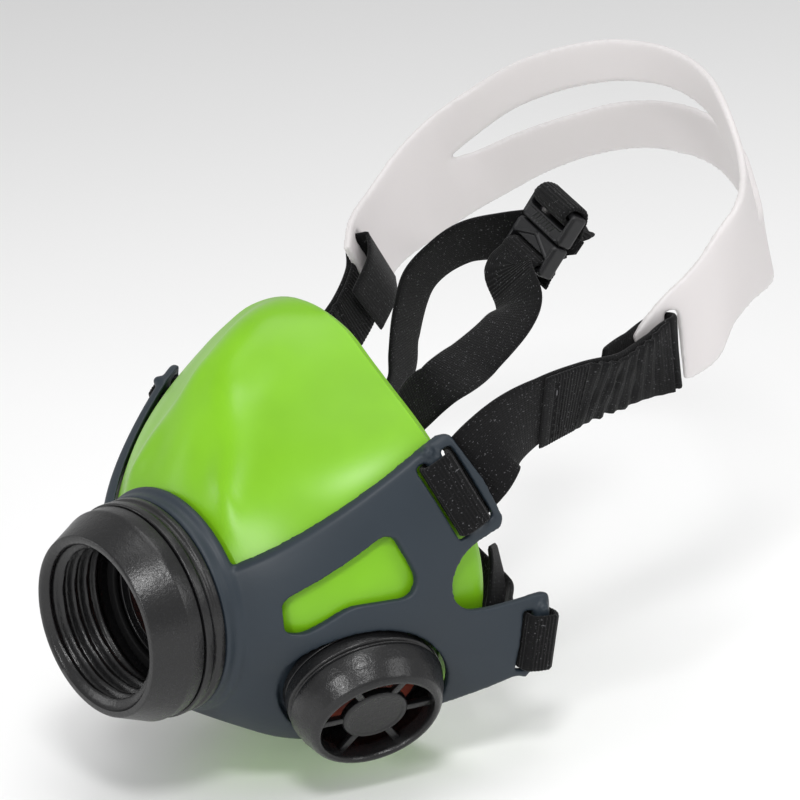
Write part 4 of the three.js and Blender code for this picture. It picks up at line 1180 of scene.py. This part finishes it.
class MASK_OT_neck_straps(bpy.types.Operator):
    """Neck webbing straps, from the yoke's lower tabs to the buckle"""

    bl_idname = "mask.neck_straps"
    bl_label = "Neck straps"
    bl_options = {"REGISTER", "UNDO"}

    def execute(self, context):
        web = sizes().neck_web
        left = (round_bar(LOWER_TAB, LOWER_WRAP) + NECK_LEFT_ROUTE
                + through_buckle(SOCKET_WRAP))
        run = Strip(left).total
        layers = [web_mesh(left, web, [LOWER_RIBS, (run - 26, run)]),
                  web_mesh(NECK_TAIL_ROUTE, web - 6)]
        piece = web_piece("neck_web_left", layers, "neck_strap_left")
        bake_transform(piece)
        right = round_bar(LOWER_TAB.mirror(), LOWER_WRAP) + NECK_RIGHT_ROUTE
        piece = web_piece("neck_web_right", [web_mesh(right, web, [LOWER_RIBS])],
                          "neck_strap_right")
        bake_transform(piece)
        loop = NECK_RIGHT_ROUTE[-2:] + through_buckle(HOOK_WRAP)
        piece = web_piece("hook_web", [web_mesh(loop, web, [(0, 60)])])
        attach(piece, "neck_hook")
        return {"FINISHED"}


class MASK_OT_buckle(bpy.types.Operator):
    """Both halves of the neck buckle, with grip ribs and webbing slots"""

    bl_idname = "mask.buckle"
    bl_label = "Neck buckle"
    bl_options = {"REGISTER", "UNDO"}

    def bar(self, across, down, out, size, turn=0.0, edge=0.25):
        """A block in the buckle's frame, turned in its face by `turn` degrees."""
        a = math.radians(turn)
        u = BUCKLE.bar * math.cos(a) + BUCKLE.back * math.sin(a)
        v = BUCKLE.back * math.cos(a) - BUCKLE.bar * math.sin(a)
        return block(BUCKLE.point(across, down, out), u, v, BUCKLE.out, size, edge)

    def half(self, sign):
        """The socket half's body for 1 and the hook half's for -1, each with its own relief."""
        body = self.bar(0, sign * (BUCKLE_HALF + GAP) / 2, 0,
                        [BUCKLE_WIDE, BUCKLE_HALF, BUCKLE_THICK], edge=0.9)
        combined(body, "DIFFERENCE", self.bar(
            0, sign * BUCKLE_SLOT_AT, 0, [sizes().neck_web + 1, BUCKLE_SLOT, 8], edge=0.3))
        face = BUCKLE_THICK / 2
        ribs = [self.bar(side * 8.5, sign * 4.8, face, [0.9, 7.6, 0.6], 0, 0.2)
                for side in (-1, 1)]
        if sign > 0:
            ribs += [self.bar(side * 4, 2.7, face, [8.8, 0.8, 1.0], side * 22, 0.25)
                     for side in (-1, 1)]
        else:
            ribs += [self.bar(0, down, face, [15.4, 0.6, 1.0], 0, 0.2) for down in (-0.9, -4)]
            ribs += [self.bar(1.4 * i, -2.45, face, [2.6, 0.4, 0.7], 62, 0.12)
                     for i in range(-3, 4)]
        return combined(body, "UNION", *ribs)

    def execute(self, context):
        socket = self.half(1)
        combined(socket, "DIFFERENCE", self.bar(0, 1.5, 0, [11, 3.6, 2.6], edge=0.2))
        shown(rounded_off(socket, voxel=0.2, rounds=4), "buckle_socket", "neck_socket",
              "buckle_plastic", "neck_buckle_socket", sharp=75)
        hook = combined(self.half(-1), "UNION", self.bar(0, 0.8, 0, [10.4, 3, 2], edge=0.3))
        shown(rounded_off(hook, voxel=0.2, rounds=4), "buckle_hook", "neck_hook",
              "buckle_plastic", "neck_buckle_hook", sharp=75)
        return {"FINISHED"}


FLOOR_HALF, FLOOR_DROP = 3000, 0.5        # mm
WORLD_LIGHT = 0.62
# Name, place, size in metres, and power in watts.
LAMPS = [
    ("key", (0.47, -0.38, 0.62), 0.14, 2.4), ("top", (0.1, 0.1, 1.1), 0.7, 4),
    ("side", (0.95, 0.35, 0.5), 0.4, 2), ("left", (-0.7, -0.8, 0.25), 0.3, 1.2),
    ("front", (0.27, -0.78, 0.3), 0.1, 1.8),
]
LAMP_AIM = (0, 0.02, 0.02)
CAMERA_SENSOR, CAMERA_LENS = 36, 133.2
CAMERA_AT = (0.55184, -0.46210, 0.25429)
# The camera's right, up and back.
CAMERA_AXES = ((0.67290, 0.73556, -0.07847), (-0.16639, 0.25386, 0.95282),
               (0.72078, -0.62810, 0.29321))


class MASK_OT_stage(bpy.types.Operator):
    """Pale floor, soft studio light and the camera"""

    bl_idname = "mask.stage"
    bl_label = "Stage"
    bl_options = {"REGISTER", "UNDO"}

    def lamp(self, name, at, size, power):
        data = bpy.data.lights.new(name, "AREA")
        data.size, data.energy = size, power
        lamp = linked(name, data)
        lamp.location = at
        lamp.rotation_mode = "QUATERNION"
        lamp.rotation_quaternion = (Vector(LAMP_AIM) - Vector(at)).to_track_quat("-Z", "Y")

    def execute(self, context):
        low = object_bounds()[0].z
        floor = solid("floor", [[x * FLOOR_HALF, y * FLOOR_HALF, low / MM - FLOOR_DROP] for x, y in
                                ((-1, -1), (1, -1), (1, 1), (-1, 1))], [(0, 1, 2, 3)])
        sheet = Sheet("floor_paint")
        base = colours().floor
        tone = sheet.noise(3, 2)
        floor.data.materials.append(sheet.finish(
            Base_Color=sheet.blend(tone, tinted(base, 0.99), tinted(base, 1.01)),
            Roughness=0.9))
        floor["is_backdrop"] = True
        world = bpy.data.worlds.new("studio")
        context.scene.world = world
        context.scene.view_settings.view_transform = "Standard"
        world.use_nodes = True
        sky = world.node_tree.nodes["Background"].inputs
        sky["Color"].default_value = (1, 1, 1, 1)
        sky["Strength"].default_value = WORLD_LIGHT
        for lamp in LAMPS:
            self.lamp(*lamp)
        camera = linked("camera", bpy.data.cameras.new("camera"))
        camera.data.sensor_width, camera.data.lens = CAMERA_SENSOR, CAMERA_LENS
        turn = Matrix(CAMERA_AXES).transposed().to_4x4()
        camera.matrix_world = Matrix.Translation(CAMERA_AT) @ turn
        context.scene.camera = camera
        return {"FINISHED"}


OPERATORS = (MASK_OT_facepiece, MASK_OT_yoke, MASK_OT_port, MASK_OT_inhalation,
             MASK_OT_exhalation, MASK_OT_cradle, MASK_OT_upper_straps, MASK_OT_neck_straps,
             MASK_OT_buckle, MASK_OT_stage)


class MASK_PT_panel(bpy.types.Panel):
    """Lists the mask's pieces and their settings"""

    bl_idname = "MASK_PT_panel"
    bl_label = "Respirator"
    bl_space_type = "VIEW_3D"
    bl_region_type = "UI"
    bl_category = "Respirator"

    def draw(self, context):
        for settings in (context.scene.mask_sizes, context.scene.mask_colours):
            box = self.layout.box()
            for name in settings.__annotations__:
                box.prop(settings, name)
        for operator in OPERATORS:
            self.layout.operator(operator.bl_idname)


CLASSES = (MaskSizes, MaskColours, *OPERATORS, MASK_PT_panel)


def register():
    for cls in CLASSES:
        bpy.utils.register_class(cls)
    bpy.types.Scene.mask_sizes = bpy.props.PointerProperty(type=MaskSizes)
    bpy.types.Scene.mask_colours = bpy.props.PointerProperty(type=MaskColours)


def unregister():
    del bpy.types.Scene.mask_colours
    del bpy.types.Scene.mask_sizes
    for cls in reversed(CLASSES):
        bpy.utils.unregister_class(cls)


def main():
    register()
    for operator in OPERATORS:
        getattr(bpy.ops.mask, operator.bl_idname.split(".")[1])()


if __name__ == "__main__":
    main()
